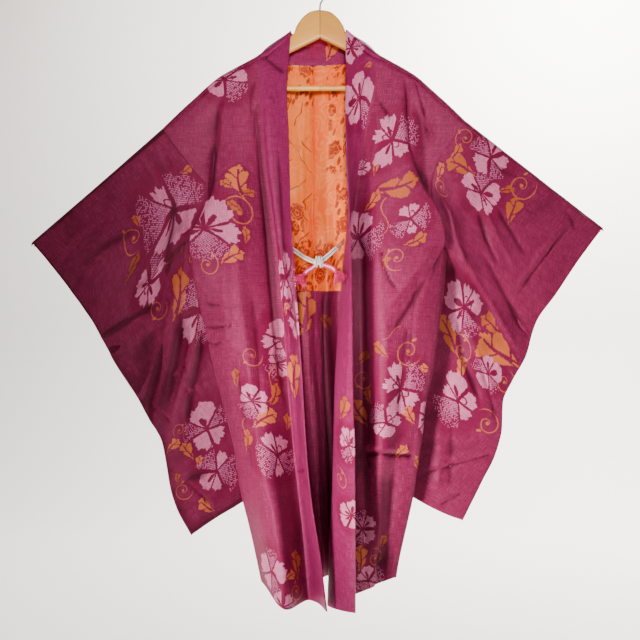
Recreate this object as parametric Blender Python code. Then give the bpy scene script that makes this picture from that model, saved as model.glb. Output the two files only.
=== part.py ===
"""Haori jacket on a wooden hanger.

One CAD model in metres, +Z up.  The origin is the inside of the hook's crown, where the
hanger hangs.  +X is the wearer's left, -Y is the garment's front, +Y is its back.

The cloth is worked out in millimetres.  A place on it is written (drop, x, depth): how far
below the origin it lies, how far to the wearer's left, and how far back.  Every panel is a
set of lines that run down the cloth, each with a short table of rows, and the panel is the
smooth surface across its lines.  Names say right and left as the wearer does.
"""

import math

import bmesh
import bpy
import numpy as np

# ------------------------------------------------------------------ driving sizes, mm
MM = 0.001
CLOTH = 1.6                 # body, sleeves and gussets: silk, lined
COLLAR_CLOTH = 2.4          # collar band, folded in layers
LINING_CLOTH = 1.0
SEAM_GAP = 0.3
COLLAR_GAP = 0.55
LINING_GAP = 0.6
NECK_GAP = 0.4
CORNER_GAP = 1.3            # more at the collar's corner on the shoulder
ARMHOLE_GAP = 0.6
ROLL = 9.5                  # radius of the cloth over the hanger
ROLL_STEPS = (0.0, 30.0, 60.0, 90.0)

LEVEL = 500.0               # rows of a panel are level below this drop
UPPER_ROWS = 9
LOWER_ROWS = 12
COLLAR_STEPS = 4
COLLAR_SWELL = 0.6          # how far the collar follows the panel before it turns forward
GUSSET_STEPS = 3
GUSSET_SWELL = {"right": 0.6, "left": 2.0}
LINING_BOTTOM = 560.0
LINING_COLUMNS = 13         # columns of the back that the lining covers

SLEEVE_STEPS = 9            # armhole to cuff
FREE_ROWS = 10              # rows of a sleeve below the underarm
WRIST_LENGTH = 235.0        # open part of the cuff edge, from the top fold
BAG_GAP = 28.0              # front wall to back wall, mid sleeve
WRIST_GAP = 16.0
SEWN_GAP = 2.6              # the walls at a sewn edge, middle to middle
SEWN_INSET = 2.4            # how far the hollow ends before a sewn edge

WOOD_THICK = 12.0
WOOD_CLEAR = 3.6            # shoulder line to the wood under it
WOOD_BEVEL = 5.0
HOOK_WIRE = 3.2
HOOK_INNER = 18.0
HOOK_STEM_FOOT = 76.0
BAR_DROP = 198.6
BAR_WIDTH = 9.6
BAR_SOCKET = 171.0          # depth of the bar's sockets, from the middle
BAR_END = 170.0

TIE_WIDTH = 5.0
TAIL_WIDTH = 4.0
LOOP_WIDTH = 2.4
TASSEL_STRANDS = 22
TASSEL_LENGTH = 13.0

# ------------------------------------------------------------------ shoulder lines
# (distance from the middle, drop): from the collar's free edge to the armhole
SHOULDER = {
    "right": ((52, 96), (79, 121), (110, 140), (156, 165), (176, 176), (196, 191),
              (218, 211), (252, 242), (283, 272)),
    "left": ((47, 94), (76, 120), (106, 139), (144, 160), (172, 177), (202, 203),
             (231, 229), (260, 257)),
}

# ------------------------------------------------------------------ lines of the fronts
# (drop, x, depth).  "edge" is the collar's free edge, "seam" the collar seam, "crest" the
# fold beside it, "turn" the fold that ends the visible front, "tuck" the cloth just behind
# it and "outer" the armhole, then the gusset seam.
FRONT = {
    "right": {
        "edge": ((96, -52, -9), (139, -55, -15), (211, -59, -24), (285, -56, -29),
                 (407, -53, -38), (488, -48, -42), (672, -35, -42), (875, -22, -42),
                 (938, -15, -42), (1039, 1, -42), (1126, 12, -42)),
        "seam": ((140, -110, -9), (208, -105, -10), (316, -99, -6), (410, -87, 2),
                 (549, -71, 8), (761, -55, 10), (882, -44, 10), (996, -31, 10),
                 (1123, -20, 10)),
        "crest": ((158, -140, -9), (300, -141, -14), (450, -147, -18), (616, -137, -22),
                  (757, -106, -28), (894, -94, -32), (1029, -72, -33), (1125, -62, -33)),
        "turn": ((171, -166, -9), (262, -174, -10), (353, -184, -12), (376, -192, -13),
                 (427, -208, -14), (460, -227, -11), (480, -232, -8), (513, -228, -5),
                 (616, -209, 5), (690, -192, 10), (783, -170, 15), (855, -152, 20),
                 (933, -141, 25), (1043, -116, 28), (1098, -105, 30)),
        "tuck": ((184, -187, -9), (215, -187, -8.6), (262, -188, -2), (330, -190, 4), (376, -192, 8),
                 (410, -197, 9), (440, -215, 4), (470, -232, 0), (513, -230, 4),
                 (616, -211, 13), (690, -195, 18), (783, -173, 23), (855, -155, 28),
                 (933, -144, 33), (1043, -119, 36), (1097, -108, 38)),
        "outer": ((272, -283, -9), (312, -253, -2), (350, -224, 6), (372, -206, 12),
                  (400, -208, 14), (440, -221, 11), (465, -227, 9), (513, -224, 13),
                  (616, -205, 22), (690, -189, 27), (783, -167, 32), (855, -149, 37),
                  (933, -138, 41), (1043, -113, 44), (1096, -102, 46)),
    },
    "left": {
        "edge": ((94, 47, -9), (143, 46, -15), (244, 46, -26), (334, 47, -34),
                 (407, 50, -40), (488, 53, -44), (582, 56, -45), (755, 58, -45),
                 (860, 61, -45), (1127, 62, -45)),
        "seam": ((139, 106, -9), (204, 95, -9), (244, 85, -6), (321, 72, 6),
                 (385, 62, 14), (470, 49, 18), (581, 38, 18), (761, 27, 13),
                 (887, 24, 9), (1013, 18, 7), (1130, 14, 5)),
        "valley": ((146, 118, -9), (244, 100, -8), (321, 88, 3), (400, 78, 14),
                   (470, 73, 20), (560, 73, 24), (760, 77, 25), (872, 77, 25),
                   (1117, 70, 31)),
        "crest": ((156, 137, -9), (244, 130, -12), (321, 124, -13), (400, 118, -12),
                  (470, 112, -10), (560, 108, -7), (760, 110, -8), (872, 110, 2),
                  (1010, 104, 22), (1108, 98, 36)),
        "turn": ((167, 159, -9), (262, 161, -11), (298, 163, -12), (362, 175, -13),
                 (408, 204, -12), (440, 217, -8), (470, 220, -6), (520, 196, -7),
                 (580, 177, -5), (690, 159, 1), (765, 147, 6), (847, 139, 14),
                 (938, 131, 25), (1069, 108, 38), (1104, 104, 40)),
        "tuck": ((186, 182, -9), (215, 182, -8.6), (262, 181, -1), (330, 184, 5), (373, 188, 8),
                 (412, 199, 8), (440, 211, 5), (470, 221, 1), (520, 208, -1),
                 (580, 196, 0), (690, 181, 6), (765, 168, 11), (847, 160, 18),
                 (938, 150, 28), (1069, 126, 40), (1098, 122, 42)),
        "outer": ((257, 260, -9), (301, 229, -1), (345, 205, 9), (372, 200, 13),
                  (400, 204, 14), (440, 217, 12), (484, 224, 7), (520, 219, 6),
                  (580, 211, 7), (690, 198, 12), (765, 184, 17), (847, 176, 23),
                  (938, 165, 32), (1069, 140, 43), (1093, 137, 45)),
    },
}
UNDERARM = {"right": 465.0, "left": 484.0}

# ------------------------------------------------------------------ lines of the backs
# "centre" is the centre-back seam, "nape" starts on the neckline, "neck" at the collar's
# corner on the shoulder, "blade" and "wing" on the shoulder; below they are the crests and
# hollows of the folds.
BACK = {
    "right": {
        "centre": ((147, -13, 38), (200, -13, 42), (300, -13, 47), (430, -13, 50),
                   (562, -10, 50), (700, -4, 50), (900, 8, 50), (1090, 20, 52)),
        "nape": ((146, -62, 34), (200, -58, 36), (300, -50, 38), (430, -38, 40),
                 (562, -26, 38), (700, -18, 34), (900, -4, 33), (1090, 3, 36)),
        "neck": ((140, -110, 9), (200, -108, 20), (300, -100, 34), (430, -80, 46),
                 (562, -58, 54), (700, -44, 58), (900, -27, 60), (1090, -17, 63)),
        "blade": ((165, -156, 9), (230, -154, 16), (300, -150, 26), (430, -128, 38),
                  (562, -104, 42), (700, -84, 43), (900, -58, 45), (1090, -38, 47)),
        "wing": ((195, -200, 9), (262, -196, 14), (330, -186, 24), (430, -173, 36),
                 (562, -154, 50), (700, -124, 58), (900, -88, 62), (1090, -58, 67)),
        "outer": ((272, -283, 9), (312, -253, 14), (350, -226, 20), (372, -209, 26),
                  (400, -208, 29), (440, -216, 29), (465, -221, 28), (513, -211, 35),
                  (616, -188, 44), (690, -170, 47), (783, -146, 49), (855, -128, 51),
                  (933, -116, 53), (1043, -92, 55), (1092, -80, 55)),
    },
    "left": {
        "centre": ((147, -13, 38), (200, -13, 42), (300, -13, 47), (430, -13, 50),
                   (562, -10, 50), (700, -4, 50), (900, 8, 50), (1090, 20, 52)),
        "nape": ((146, 38, 34), (200, 36, 36), (300, 28, 40), (430, 20, 46),
                 (562, 14, 61), (700, 18, 67), (900, 28, 68), (1090, 36, 69)),
        "neck": ((139, 106, 9), (200, 104, 20), (300, 94, 32), (430, 66, 39),
                 (562, 38, 43), (700, 38, 44), (900, 46, 44), (1090, 56, 46)),
        "blade": ((163, 150, 9), (230, 149, 16), (300, 144, 28), (430, 124, 42),
                  (562, 94, 54), (700, 84, 60), (900, 80, 63), (1090, 79, 69)),
        "wing": ((196, 196, 9), (262, 191, 14), (330, 183, 23), (430, 176, 33),
                 (562, 156, 42), (700, 136, 46), (900, 116, 48), (1090, 102, 50)),
        "outer": ((257, 260, 9), (301, 229, 15), (345, 206, 22), (368, 201, 27),
                  (400, 204, 30), (440, 213, 31), (484, 218, 30), (520, 210, 36),
                  (580, 198, 43), (690, 182, 47), (765, 170, 49), (847, 161, 52),
                  (938, 149, 56), (1069, 124, 60), (1092, 120, 60)),
    },
}
NECK_LINES = ("centre", "nape")      # these start on the neckline, not on the shoulder
NECK_COLUMNS = 6                     # columns of a back from its centre to the shoulder corner

# the neckline of the back, from the centre (0) to the shoulder (1): (part, drop, x, depth)
NECKLINE = {
    "right": ((0.0, 147, -13, 38), (0.4, 146, -62, 35), (0.7, 144.5, -82, 24),
              (0.88, 142, -103, 9), (1.0, 140, -110, 0.15)),
    "left": ((0.0, 147, -13, 38), (0.4, 146, 38, 35), (0.7, 144.5, 76, 24),
             (0.88, 141, 99, 9), (1.0, 139, 106, 0.15)),
}

# the collar's free edge behind the neck: (part of the way round, drop, x, depth)
NECK_EDGE = {
    "right": ((0.0, 96, -52, 0), (0.3, 94, -52, 17), (0.6, 90, -42, 33), (1.0, 88, -13, 43)),
    "left": ((0.0, 94, 47, 0), (0.3, 93, 47, 17), (0.6, 90, 32, 33), (1.0, 88, -13, 43)),
}

# ------------------------------------------------------------------ sleeve edges
# "cuff" runs down the outer edge, "bottom" from its tip to the inner corner, "open_front"
# and "open_back" down the unsewn inner edges, from the underarm.
SLEEVE = {
    "right": {
        "top": ((272, -283, 0), (369, -405, 26), (471, -534, 50)),
        "cuff": ((471, -534, 50), (508, -503, 52), (564, -460, 55), (617, -424, 57),
                 (692, -386, 60), (752, -348, 62), (806, -318, 63), (843, -297, 64),
                 (883, -289, 65), (933, -281, 67), (968, -270, 68), (1020, -243, 70)),
        "bottom": ((1020, -243, 70), (989, -197, 74), (957, -144, 79), (908, -90, 84),
                   (862, -40, 86)),
        "open_front": ((465, -228, 9), (480, -234, 22), (498, -233, 37), (522, -222, 49),
                       (556, -204, 57), (600, -186, 63), (680, -150, 70), (775, -94, 76),
                       (862, -40, 78)),
        "open_back": ((465, -222, 29), (480, -228, 42), (498, -228, 56), (522, -218, 67),
                      (556, -200, 75), (600, -182, 81), (680, -147, 88), (775, -92, 93),
                      (862, -40, 94)),
    },
    "left": {
        "top": ((257, 260, 0), (345, 385, 26), (444, 524, 50)),
        "cuff": ((444, 524, 50), (495, 486, 52), (567, 438, 55), (616, 405, 57),
                 (681, 386, 60), (730, 360, 62), (769, 343, 63), (818, 341, 64),
                 (865, 330, 65), (922, 303, 67), (992, 269, 70)),
        "bottom": ((992, 269, 70), (985, 247, 71), (949, 174, 77), (898, 100, 84),
                   (855, 40, 86)),
        "open_front": ((484, 226, 7), (498, 232, 20), (514, 231, 35), (536, 221, 48),
                       (568, 204, 57), (610, 186, 63), (690, 150, 70), (775, 94, 76),
                       (855, 40, 78)),
        "open_back": ((484, 219, 31), (498, 226, 42), (514, 226, 55), (536, 217, 67),
                      (568, 200, 75), (610, 182, 81), (690, 147, 88), (775, 92, 93),
                      (855, 40, 94)),
    },
}

# ------------------------------------------------------------------ hanger outline
# (distance from the middle, drop) beyond what lies under the collar and the shoulders
WOOD_CROWN = ((0, 58), (14, 60), (27, 67.5), (40, 83), (44.6, 92.5), (46, 98.5), (53, 105))
WOOD_UNDER = ((0, 108.5), (56, 136), (110, 166), (150, 190), (170, 205))
WOOD_END = ((180, 207), (184, 200), (180, 192.5))
WOOD_LAST_UNDER_CLOTH = 172.0

# ------------------------------------------------------------------ tie routes
# (drop, x, depth), from the loop at the collar seam to the knot, and on to the tassels
TIES = {
    "right": ((481, -66.3, 3.6), (484, -57.5, -3.5), (489, -49, -9), (497, -38, -15),
              (505, -26, -21), (511, -14, -25), (513, -8.55, -26)),
    "left": ((486.5, 30.6, -8.4), (491, 25, -14), (497, 19, -19), (504, 11, -23.5),
             (509.7, 4.2, -26.2)),
}
TAILS = {
    "right": ((518.3, -7.1, -26.6), (523, -13, -29), (526.5, -18, -31), (530, -23, -33),
              (534.5, -26.5, -34)),
    "left": ((517.3, 3.8, -26.7), (520, 11, -29), (522, 17, -31), (525, 22.5, -33),
             (529.5, 26.5, -34)),
}
LOOPS = {
    "right": ((477, -74.2, 6.8), (479.5, -68.5, 5.5)),
    "left": ((474, 41.9, 7.4), (484.4, 32.6, -6.0)),
}
LOOP_SPREAD = 2.2
KNOT = (513, -2, -27)
KNOT_HALF = (6.0, 8.0, 5.0)          # across, up and deep

COLOURS = {
    "silk": ((0.30, 0.035, 0.11), 0.5),
    "collar_silk": ((0.24, 0.028, 0.11), 0.5),
    "lining_silk": ((0.80, 0.19, 0.06), 0.35),
    "wood": ((0.78, 0.50, 0.24), 0.45),
    "steel": ((0.62, 0.62, 0.63), 0.3),
    "braid": ((0.80, 0.76, 0.74), 0.6),
    "tassel": ((0.75, 0.10, 0.33), 0.7),
}
SIDES = {"right": -1, "left": 1}


# ------------------------------------------------------------------ curves
def smooth(rows, where):
    """Values of the columns after the first, at the given first column, with no overshoot."""
    table = np.array(rows, dtype=float)
    at, values = table[:, 0], table[:, 1:]
    steps = np.diff(at)[:, None]
    slopes = np.diff(values, axis=0) / steps
    ends = np.vstack([slopes[:1], slopes[-1:]])
    if len(at) > 2:
        before, after = slopes[:-1], slopes[1:]
        weight_a = 2 * steps[1:] + steps[:-1]
        weight_b = steps[1:] + 2 * steps[:-1]
        with np.errstate(divide="ignore", invalid="ignore"):
            inner = (weight_a + weight_b) / (weight_a / before + weight_b / after)
        inner[~(before * after > 0)] = 0.0
    else:
        inner = np.zeros((0, values.shape[1]))
    tangents = np.vstack([ends[:1], inner, ends[1:]])
    where = np.clip(np.atleast_1d(np.asarray(where, dtype=float)), at[0], at[-1])
    k = np.clip(np.searchsorted(at, where, side="right") - 1, 0, len(at) - 2)
    return hermite(values[k], values[k + 1], tangents[k] * steps[k],
                   tangents[k + 1] * steps[k], (where - at[k]) / steps[k, 0])


def hermite(start, end, start_slope, end_slope, t):
    """Cubic from start to end."""
    t = np.asarray(t, dtype=float)
    t = t.reshape(t.shape + (1,) * (np.ndim(start) - t.ndim))
    return ((2 * t ** 3 - 3 * t ** 2 + 1) * start + (t ** 3 - 2 * t ** 2 + t) * start_slope
            + (3 * t ** 2 - 2 * t ** 3) * end + (t ** 3 - t ** 2) * end_slope)


def across(points, steps):
    """Smooth curve through points (lines x rows x 3), steps cells between each two lines.

    The first point only gives the direction at the second.  Returns the curve and, at both
    ends, its unit direction square to the rows.
    """
    points = np.asarray(points, dtype=float)
    knots = np.cumsum([0.0] + [np.mean(np.linalg.norm(b - a, axis=-1))
                               for a, b in zip(points[:-1], points[1:])])
    slopes = [(points[1] - points[0]) / (knots[1] - knots[0])]
    for k in range(1, len(points) - 1):
        slopes.append((points[k + 1] - points[k - 1]) / (knots[k + 1] - knots[k - 1]))
    slopes.append((points[-1] - points[-2]) / (knots[-1] - knots[-2]))
    cells = []
    for k in range(1, len(points) - 1):
        width = knots[k + 1] - knots[k]
        for i in range(steps[k - 1]):
            cells.append(hermite(points[k], points[k + 1], slopes[k] * width,
                                 slopes[k + 1] * width, np.full(len(points[k]), i / steps[k - 1])))
    cells.append(points[-1])
    return np.array(cells), squared(slopes[1], points[1]), squared(slopes[-1], points[-1])


def squared(ways, line):
    """Unit directions off a line, made square to it."""
    ahead = unit(np.gradient(line, axis=0))
    return unit(ways - ahead * np.sum(ways * ahead, axis=-1, keepdims=True))


def unit(vectors):
    """Vectors of length one."""
    return vectors / np.maximum(np.linalg.norm(vectors, axis=-1, keepdims=True), 1e-9)


def by_length(rows, places):
    """Points on a smooth curve through rows: a number of even ones, or at parts of its length."""
    table = np.array(rows, dtype=float)
    lengths = np.concatenate([[0.0], np.cumsum(np.linalg.norm(np.diff(table, axis=0), axis=1))])
    parts = np.linspace(0.0, 1.0, places) if np.isscalar(places) else places
    return smooth(np.column_stack([lengths / lengths[-1], table]), parts)


# ------------------------------------------------------------------ panels
def line_points(rows, sign, rolled=True):
    """A line's points from the shoulder to the hem, first round the roll over the hanger."""
    top, bottom = rows[0][0], rows[-1][0]
    first_gap = math.asin(SEAM_GAP / 2 / ROLL)
    angles = [max(math.radians(a), first_gap) for a in ROLL_STEPS]
    drops = [top + ROLL * (1 - math.cos(a)) for a in angles[:-1]]
    reach = [math.sin(a) for a in angles[:-1]]
    upper = np.linspace(top + ROLL, LEVEL, UPPER_ROWS + 1)
    lower = np.linspace(LEVEL, bottom, LOWER_ROWS + 1)[1:]
    drops = np.concatenate([drops, upper, lower])
    reach = np.concatenate([reach, np.ones(len(upper) + len(lower))])
    places = smooth(rows, drops)
    depth = places[:, 1]
    if rolled:
        depth = np.where(reach < 1.0, sign * ROLL * reach, depth)
    return np.column_stack([drops, places[:, 0], depth])


def on_shoulder(columns, side):
    """Puts the tops of columns on the shoulder line and on the roll, easing out below."""
    for column in columns:
        wanted = smooth(SHOULDER[side], abs(column[0][1]))[0][0]
        fade = np.clip(1 - (column[:, 0] - column[0][0]) / 120.0, 0.0, 1.0)
        column[:, 0] += (wanted - column[0][0]) * fade
        column[:len(ROLL_STEPS), 2] = columns[-1][:len(ROLL_STEPS), 2]


def front_panel(side):
    """Front: grid (across x down), and its way across at the collar seam and outer edge."""
    lines = FRONT[side]
    names = [name for name in ("edge", "seam", "valley", "crest", "turn", "tuck", "outer")
             if name in lines]
    steps = {"valley": 2, "crest": 3 if side == "left" else 4, "turn": 4, "tuck": 2, "outer": 3}
    points = [line_points(lines[name], -1) for name in names]
    grid, at_seam, at_outer = across(points, [steps[name] for name in names[2:]])
    on_shoulder(grid, side)
    return grid, at_seam, at_outer


def back_panel(side):
    """Back: grid (across x down) from the centre seam, and its way across at both edges."""
    lines = BACK[side]
    names = ("centre", "nape", "neck", "blade", "wing", "outer")
    points = [line_points(lines[name], 1, name not in NECK_LINES) for name in names]
    mirror = points[0] - np.array([0.0, SIDES[side] * 30.0, 0.0])
    grid, _, at_outer = across([mirror] + points, (3, 3, 3, 3, 3))
    on_shoulder(grid[NECK_COLUMNS:], side)
    neckline = by_length([row[1:] for row in NECKLINE[side]], NECK_COLUMNS + 1)
    for column, place in zip(grid[:NECK_COLUMNS], neckline):
        for j, angle in enumerate(ROLL_STEPS[:-1]):
            column[j] = place + (column[3] - place) * (1 - math.cos(math.radians(angle)))
    square = np.zeros_like(at_outer)
    square[:, 1] = SIDES[side]
    grid[0, :, 1] += SIDES[side] * SEAM_GAP / 2
    return grid, square, at_outer


def front_collar(side, front, at_seam):
    """Collar down the front: grid (free edge to seam x down)."""
    rows = line_points(FRONT[side]["edge"], -1)
    seam = front[0] - at_seam * COLLAR_GAP
    span = np.linalg.norm(seam - rows, axis=1, keepdims=True)
    chord = (seam - rows) / span
    leave = unit(chord * 1.6 - at_seam * 0.6)
    return np.array([hermite(rows, seam, leave * span, at_seam * span * COLLAR_SWELL,
                             np.full(len(rows), i / COLLAR_STEPS))
                     for i in range(COLLAR_STEPS + 1)])


def neck_collar(side, back, normals):
    """Collar behind the neck: grid (free edge to seam x round), and its way across the seam."""
    line = back[NECK_COLUMNS::-1, 0]
    lengths = np.concatenate([[0], np.cumsum(np.linalg.norm(np.diff(line, axis=0), axis=1))])
    edge = smooth(NECK_EDGE[side], lengths / lengths[-1])
    edge[0][2] = SEAM_GAP / 2
    ahead = unit(np.gradient(line, axis=0))
    facing = normals[NECK_COLUMNS::-1, 0][:, [2, 0, 1]] * np.array([-1.0, 1.0, 1.0])
    way = unit(np.cross(facing, ahead))
    way *= np.sign(np.sum(way * (line - edge), axis=1, keepdims=True))
    corner = np.maximum(1 - np.arange(len(line)) / 3, 0.0)[:, None]
    seam = line - way * (NECK_GAP + CORNER_GAP * corner)
    span = np.linalg.norm(seam - edge, axis=1, keepdims=True)
    grid = np.array([hermite(edge, seam, seam - edge, way * span, np.full(len(line), i / COLLAR_STEPS))
                     for i in range(COLLAR_STEPS + 1)])
    grid[:, -1, 1] = back[0, 0, 1]
    return grid, way


# ------------------------------------------------------------------ solids
def world(points):
    """(drop, x, depth) in mm to (x, y, z) in metres."""
    points = np.asarray(points, dtype=float)
    return np.stack([points[..., 1], points[..., 2], -points[..., 0]], axis=-1) * MM


def new_object(name, mesh_maker, material):
    """An object from a bmesh filled by mesh_maker, with outward faces."""
    mesh = bpy.data.meshes.new(name)
    bm = bmesh.new()
    mesh_maker(bm)
    bmesh.ops.recalc_face_normals(bm, faces=bm.faces)
    bm.to_mesh(mesh)
    bm.free()
    mesh.shade_smooth()
    mesh.set_sharp_from_angle(angle=math.radians(50))
    mesh.materials.append(make_material(material))
    obj = bpy.data.objects.new(name, mesh)
    bpy.context.scene.collection.objects.link(obj)
    return obj


def make_material(name):
    """Principled material of one colour."""
    if name in bpy.data.materials:
        return bpy.data.materials[name]
    colour, roughness = COLOURS[name]
    material = bpy.data.materials.new(name)
    material.use_nodes = True
    shader = material.node_tree.nodes["Principled BSDF"]
    shader.inputs["Base Color"].default_value = (*colour, 1.0)
    shader.inputs["Roughness"].default_value = roughness
    shader.inputs["Metallic"].default_value = 1.0 if name == "steel" else 0.0
    return material


def panel_normals(grid, ways=(None, None), top=slice(0, 0)):
    """Unit normals of a panel.

    ways are its directions across the first and the last column, shared with the pieces
    sewn to it; top picks the columns whose first row is parted along the shoulder.
    """
    points = world(grid)
    along = np.gradient(points, axis=0)
    for column, way in zip((0, -1), ways):
        if way is not None:
            along[column] = world(way) * np.linalg.norm(along[column], axis=-1, keepdims=True) / MM
    normals = unit(np.cross(along, np.gradient(points, axis=1)))
    normals[top, 0, 1] = 0.0
    return unit(normals)


def sheet_solid(name, grid, thickness, material, normals, shift=0.0):
    """A wall of the given thickness about a grid (across x down) of (drop, x, depth)."""
    points = world(grid)
    sides = [points + normals * (shift + half * thickness / 2) * MM for half in (1, -1)]

    def fill(bm):
        verts = [[[bm.verts.new(p) for p in column] for column in side] for side in sides]
        outer, inner = verts
        nu, nv = len(outer), len(outer[0])
        for i in range(nu - 1):
            for j in range(nv - 1):
                bm.faces.new((outer[i][j], outer[i + 1][j], outer[i + 1][j + 1], outer[i][j + 1]))
                bm.faces.new((inner[i][j], inner[i][j + 1], inner[i + 1][j + 1], inner[i + 1][j]))
        rim = ([(i, 0) for i in range(nu)] + [(nu - 1, j) for j in range(1, nv)]
               + [(i, nv - 1) for i in range(nu - 2, -1, -1)] + [(0, j) for j in range(nv - 2, 0, -1)])
        for (a, b), (c, d) in zip(rim, rim[1:] + rim[:1]):
            bm.faces.new((outer[a][b], inner[a][b], inner[c][d], outer[c][d]))

    return new_object(name, fill, material)


# ------------------------------------------------------------------ sleeves
def patch(inner, outer, top, bottom, down):
    """Surface from four edges, from inner to outer and from top to bottom.

    The depth of the inner edge fades twice as fast as its outline.
    """
    u = np.linspace(0, 1, len(top))[:, None, None]
    v = down[None, :, None]
    near = (1 - u) ** np.array([1.0, 1.0, 2.0])
    inner_off = inner[None] - ((1 - v) * inner[0] + v * inner[-1])
    outer_off = outer[None] - ((1 - v) * outer[0] + v * outer[-1])
    return (1 - v) * top[:, None] + v * bottom[:, None] + near * inner_off + u * outer_off


def sleeve_walls(side, seams):
    """Front and back halves of the sleeve (armhole to cuff x down from the top fold)."""
    edges = SLEEVE[side]
    roll_rows = len(ROLL_STEPS)
    inners = []
    for (seam, _), free in zip(seams, (edges["open_front"], edges["open_back"])):
        below = by_length([seam[-1]] + [np.array(p, dtype=float) for p in free[1:]],
                          np.linspace(0.0, 1.0, FREE_ROWS + 1) ** 1.4)
        inners.append(np.concatenate([seam[roll_rows - 1:], below[1:]]))
    steps = np.mean([np.linalg.norm(np.diff(inner, axis=0), axis=1) for inner in inners], axis=0)
    down = np.concatenate([[0.0], np.cumsum(steps)]) / steps.sum()
    part = np.linspace(0, 1, SLEEVE_STEPS + 1)
    top = by_length(edges["top"], SLEEVE_STEPS + 1)
    cuff = by_length(edges["cuff"], down)
    bottom = by_length(edges["bottom"], SLEEVE_STEPS + 1)[::-1]
    wrist = np.clip((WRIST_LENGTH - down * length_of(cuff)) / 60.0, 0.0, 1.0)
    cuff_half = (SEWN_GAP + (WRIST_GAP - SEWN_GAP) * wrist) / 2
    radius = ROLL + (WRIST_GAP / 2 - ROLL) * np.minimum(part * 2.5, 1.0)
    halves = []
    for facing, (seam, _), inner in ((-1, seams[0], inners[0]), (1, seams[1], inners[1])):
        turns = np.radians(ROLL_STEPS)
        roll = (top[:, None] + radius[:, None, None]
                * np.stack([1 - np.cos(turns), 0 * turns, facing * np.sin(turns)], axis=-1)[None])
        fade = np.maximum(1 - part * SLEEVE_STEPS / 4, 0.0)[:, None, None]
        roll = roll + (seam[:roll_rows] - roll[0])[None] * fade
        roll[0, 0, 2] = 0.0
        outer = cuff + np.column_stack([0 * down, 0 * down, facing * cuff_half])
        outer[0] = roll[-1, -1]
        edge_half = facing * SEWN_GAP / 2 * np.ones(len(part))
        bottom_row = bottom + np.column_stack([-abs(edge_half), 0 * part, edge_half])
        bottom_row[-1] = outer[-1]
        bottom_row[0] = inner[-1]
        wall = patch(inner, outer, roll[:, -1], bottom_row, down)
        swell = np.sin(np.pi * part)[:, None] * np.sin(np.pi * down)[None, :]
        wall[..., 2] += facing * (BAG_GAP - WRIST_GAP) / 2 * swell
        halves.append(np.concatenate([roll[:, :-1], wall], axis=1))
    return halves


def length_of(points):
    """Length of a line of points."""
    return np.linalg.norm(np.diff(points, axis=0), axis=1).sum()


def sleeve_solid(name, side, seams, material):
    """The sleeve as one bag: open at the armhole side and at the wrist."""
    front, back = sleeve_walls(side, seams)
    foot = (front[:, -1] + back[:, -1]) / 2
    foot[:, 0] += SEWN_GAP / 2
    # one closed loop for each station: top fold, front wall, foot, back wall upwards
    points = world(np.concatenate([front, foot[:, None], back[:, :0:-1]], axis=1))
    count, last = points.shape[1], points.shape[0] - 1
    along = np.gradient(points, axis=0)
    for (_, way), places in zip(seams, (range(count), range(0, -count, -1))):
        for k, direction in zip(places, way):
            along[0, k] = world(direction) * np.linalg.norm(along[0, k]) / MM
    along[0, 0] = world((seams[0][1][0] + seams[1][1][0]) / 2) * np.linalg.norm(along[0, 1]) / MM
    around = (np.roll(points, -1, axis=1) - np.roll(points, 1, axis=1)) / 2
    normals = unit(np.cross(along, around))
    if np.mean(normals[:, 4:front.shape[1], 1]) > 0:
        normals = -normals
    outer_points = points + normals * CLOTH / 2 * MM
    inner_points = points - normals * CLOTH / 2 * MM
    foot_at = front.shape[1]
    first = len(ROLL_STEPS) - 1
    run = np.cumsum(np.linalg.norm(np.diff(front[-1, first:], axis=0), axis=1))
    slot = first + 1 + int(np.argmin(abs(run - WRIST_LENGTH)))
    inward = unit(points[last - 1] - points[last]) * SEWN_INSET * MM
    for k in range(slot, count - slot + 1):
        inner_points[last, k] += inward[k]
    inner_points[:, foot_at, 2] += (0.4 + 1.4 * np.linspace(0, 1, last + 1) ** 6) * MM

    def fill(bm):
        outer = [[bm.verts.new(p) for p in ring] for ring in outer_points]
        inner = [[bm.verts.new(p) for p in ring] for ring in inner_points]
        for i in range(last):
            for k in range(count):
                n = (k + 1) % count
                bm.faces.new((outer[i][k], outer[i + 1][k], outer[i + 1][n], outer[i][n]))
                bm.faces.new((inner[i][k], inner[i][n], inner[i + 1][n], inner[i + 1][k]))
        for k in range(count):
            n = (k + 1) % count
            bm.faces.new((outer[0][k], outer[0][n], inner[0][n], inner[0][k]))
        for k in range(-slot, slot):
            a, b = k % count, (k + 1) % count
            bm.faces.new((outer[last][a], inner[last][a], inner[last][b], outer[last][b]))
        for ring, turned in ((outer[last], False), (inner[last], True)):
            for k in range(slot, foot_at):
                a, b = ring[k], ring[k + 1]
                c, d = ring[count - k - 1], ring[(count - k) % count]
                corners = (a, b, c, d) if b is not c else (a, b, d)
                bm.faces.new(corners[::-1] if turned else corners)
        bm.faces.new((outer[last][slot], inner[last][slot],
                      inner[last][count - slot], outer[last][count - slot]))

    return new_object(name, fill, material)


# ------------------------------------------------------------------ hanger
def wood_outline():
    """Half outline of the hanger's arms: (distance from the middle, drop)."""
    def cloth_over(away):
        return max(smooth(SHOULDER[side], away)[0][0] for side in SIDES) + WOOD_CLEAR

    crown = [tuple(p) for p in by_length(WOOD_CROWN, 9)]
    under_cloth = [(away, cloth_over(away)) for away in np.linspace(62, WOOD_LAST_UNDER_CLOTH, 9)]
    return crown + under_cloth, list(WOOD_END), list(WOOD_UNDER)


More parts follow.
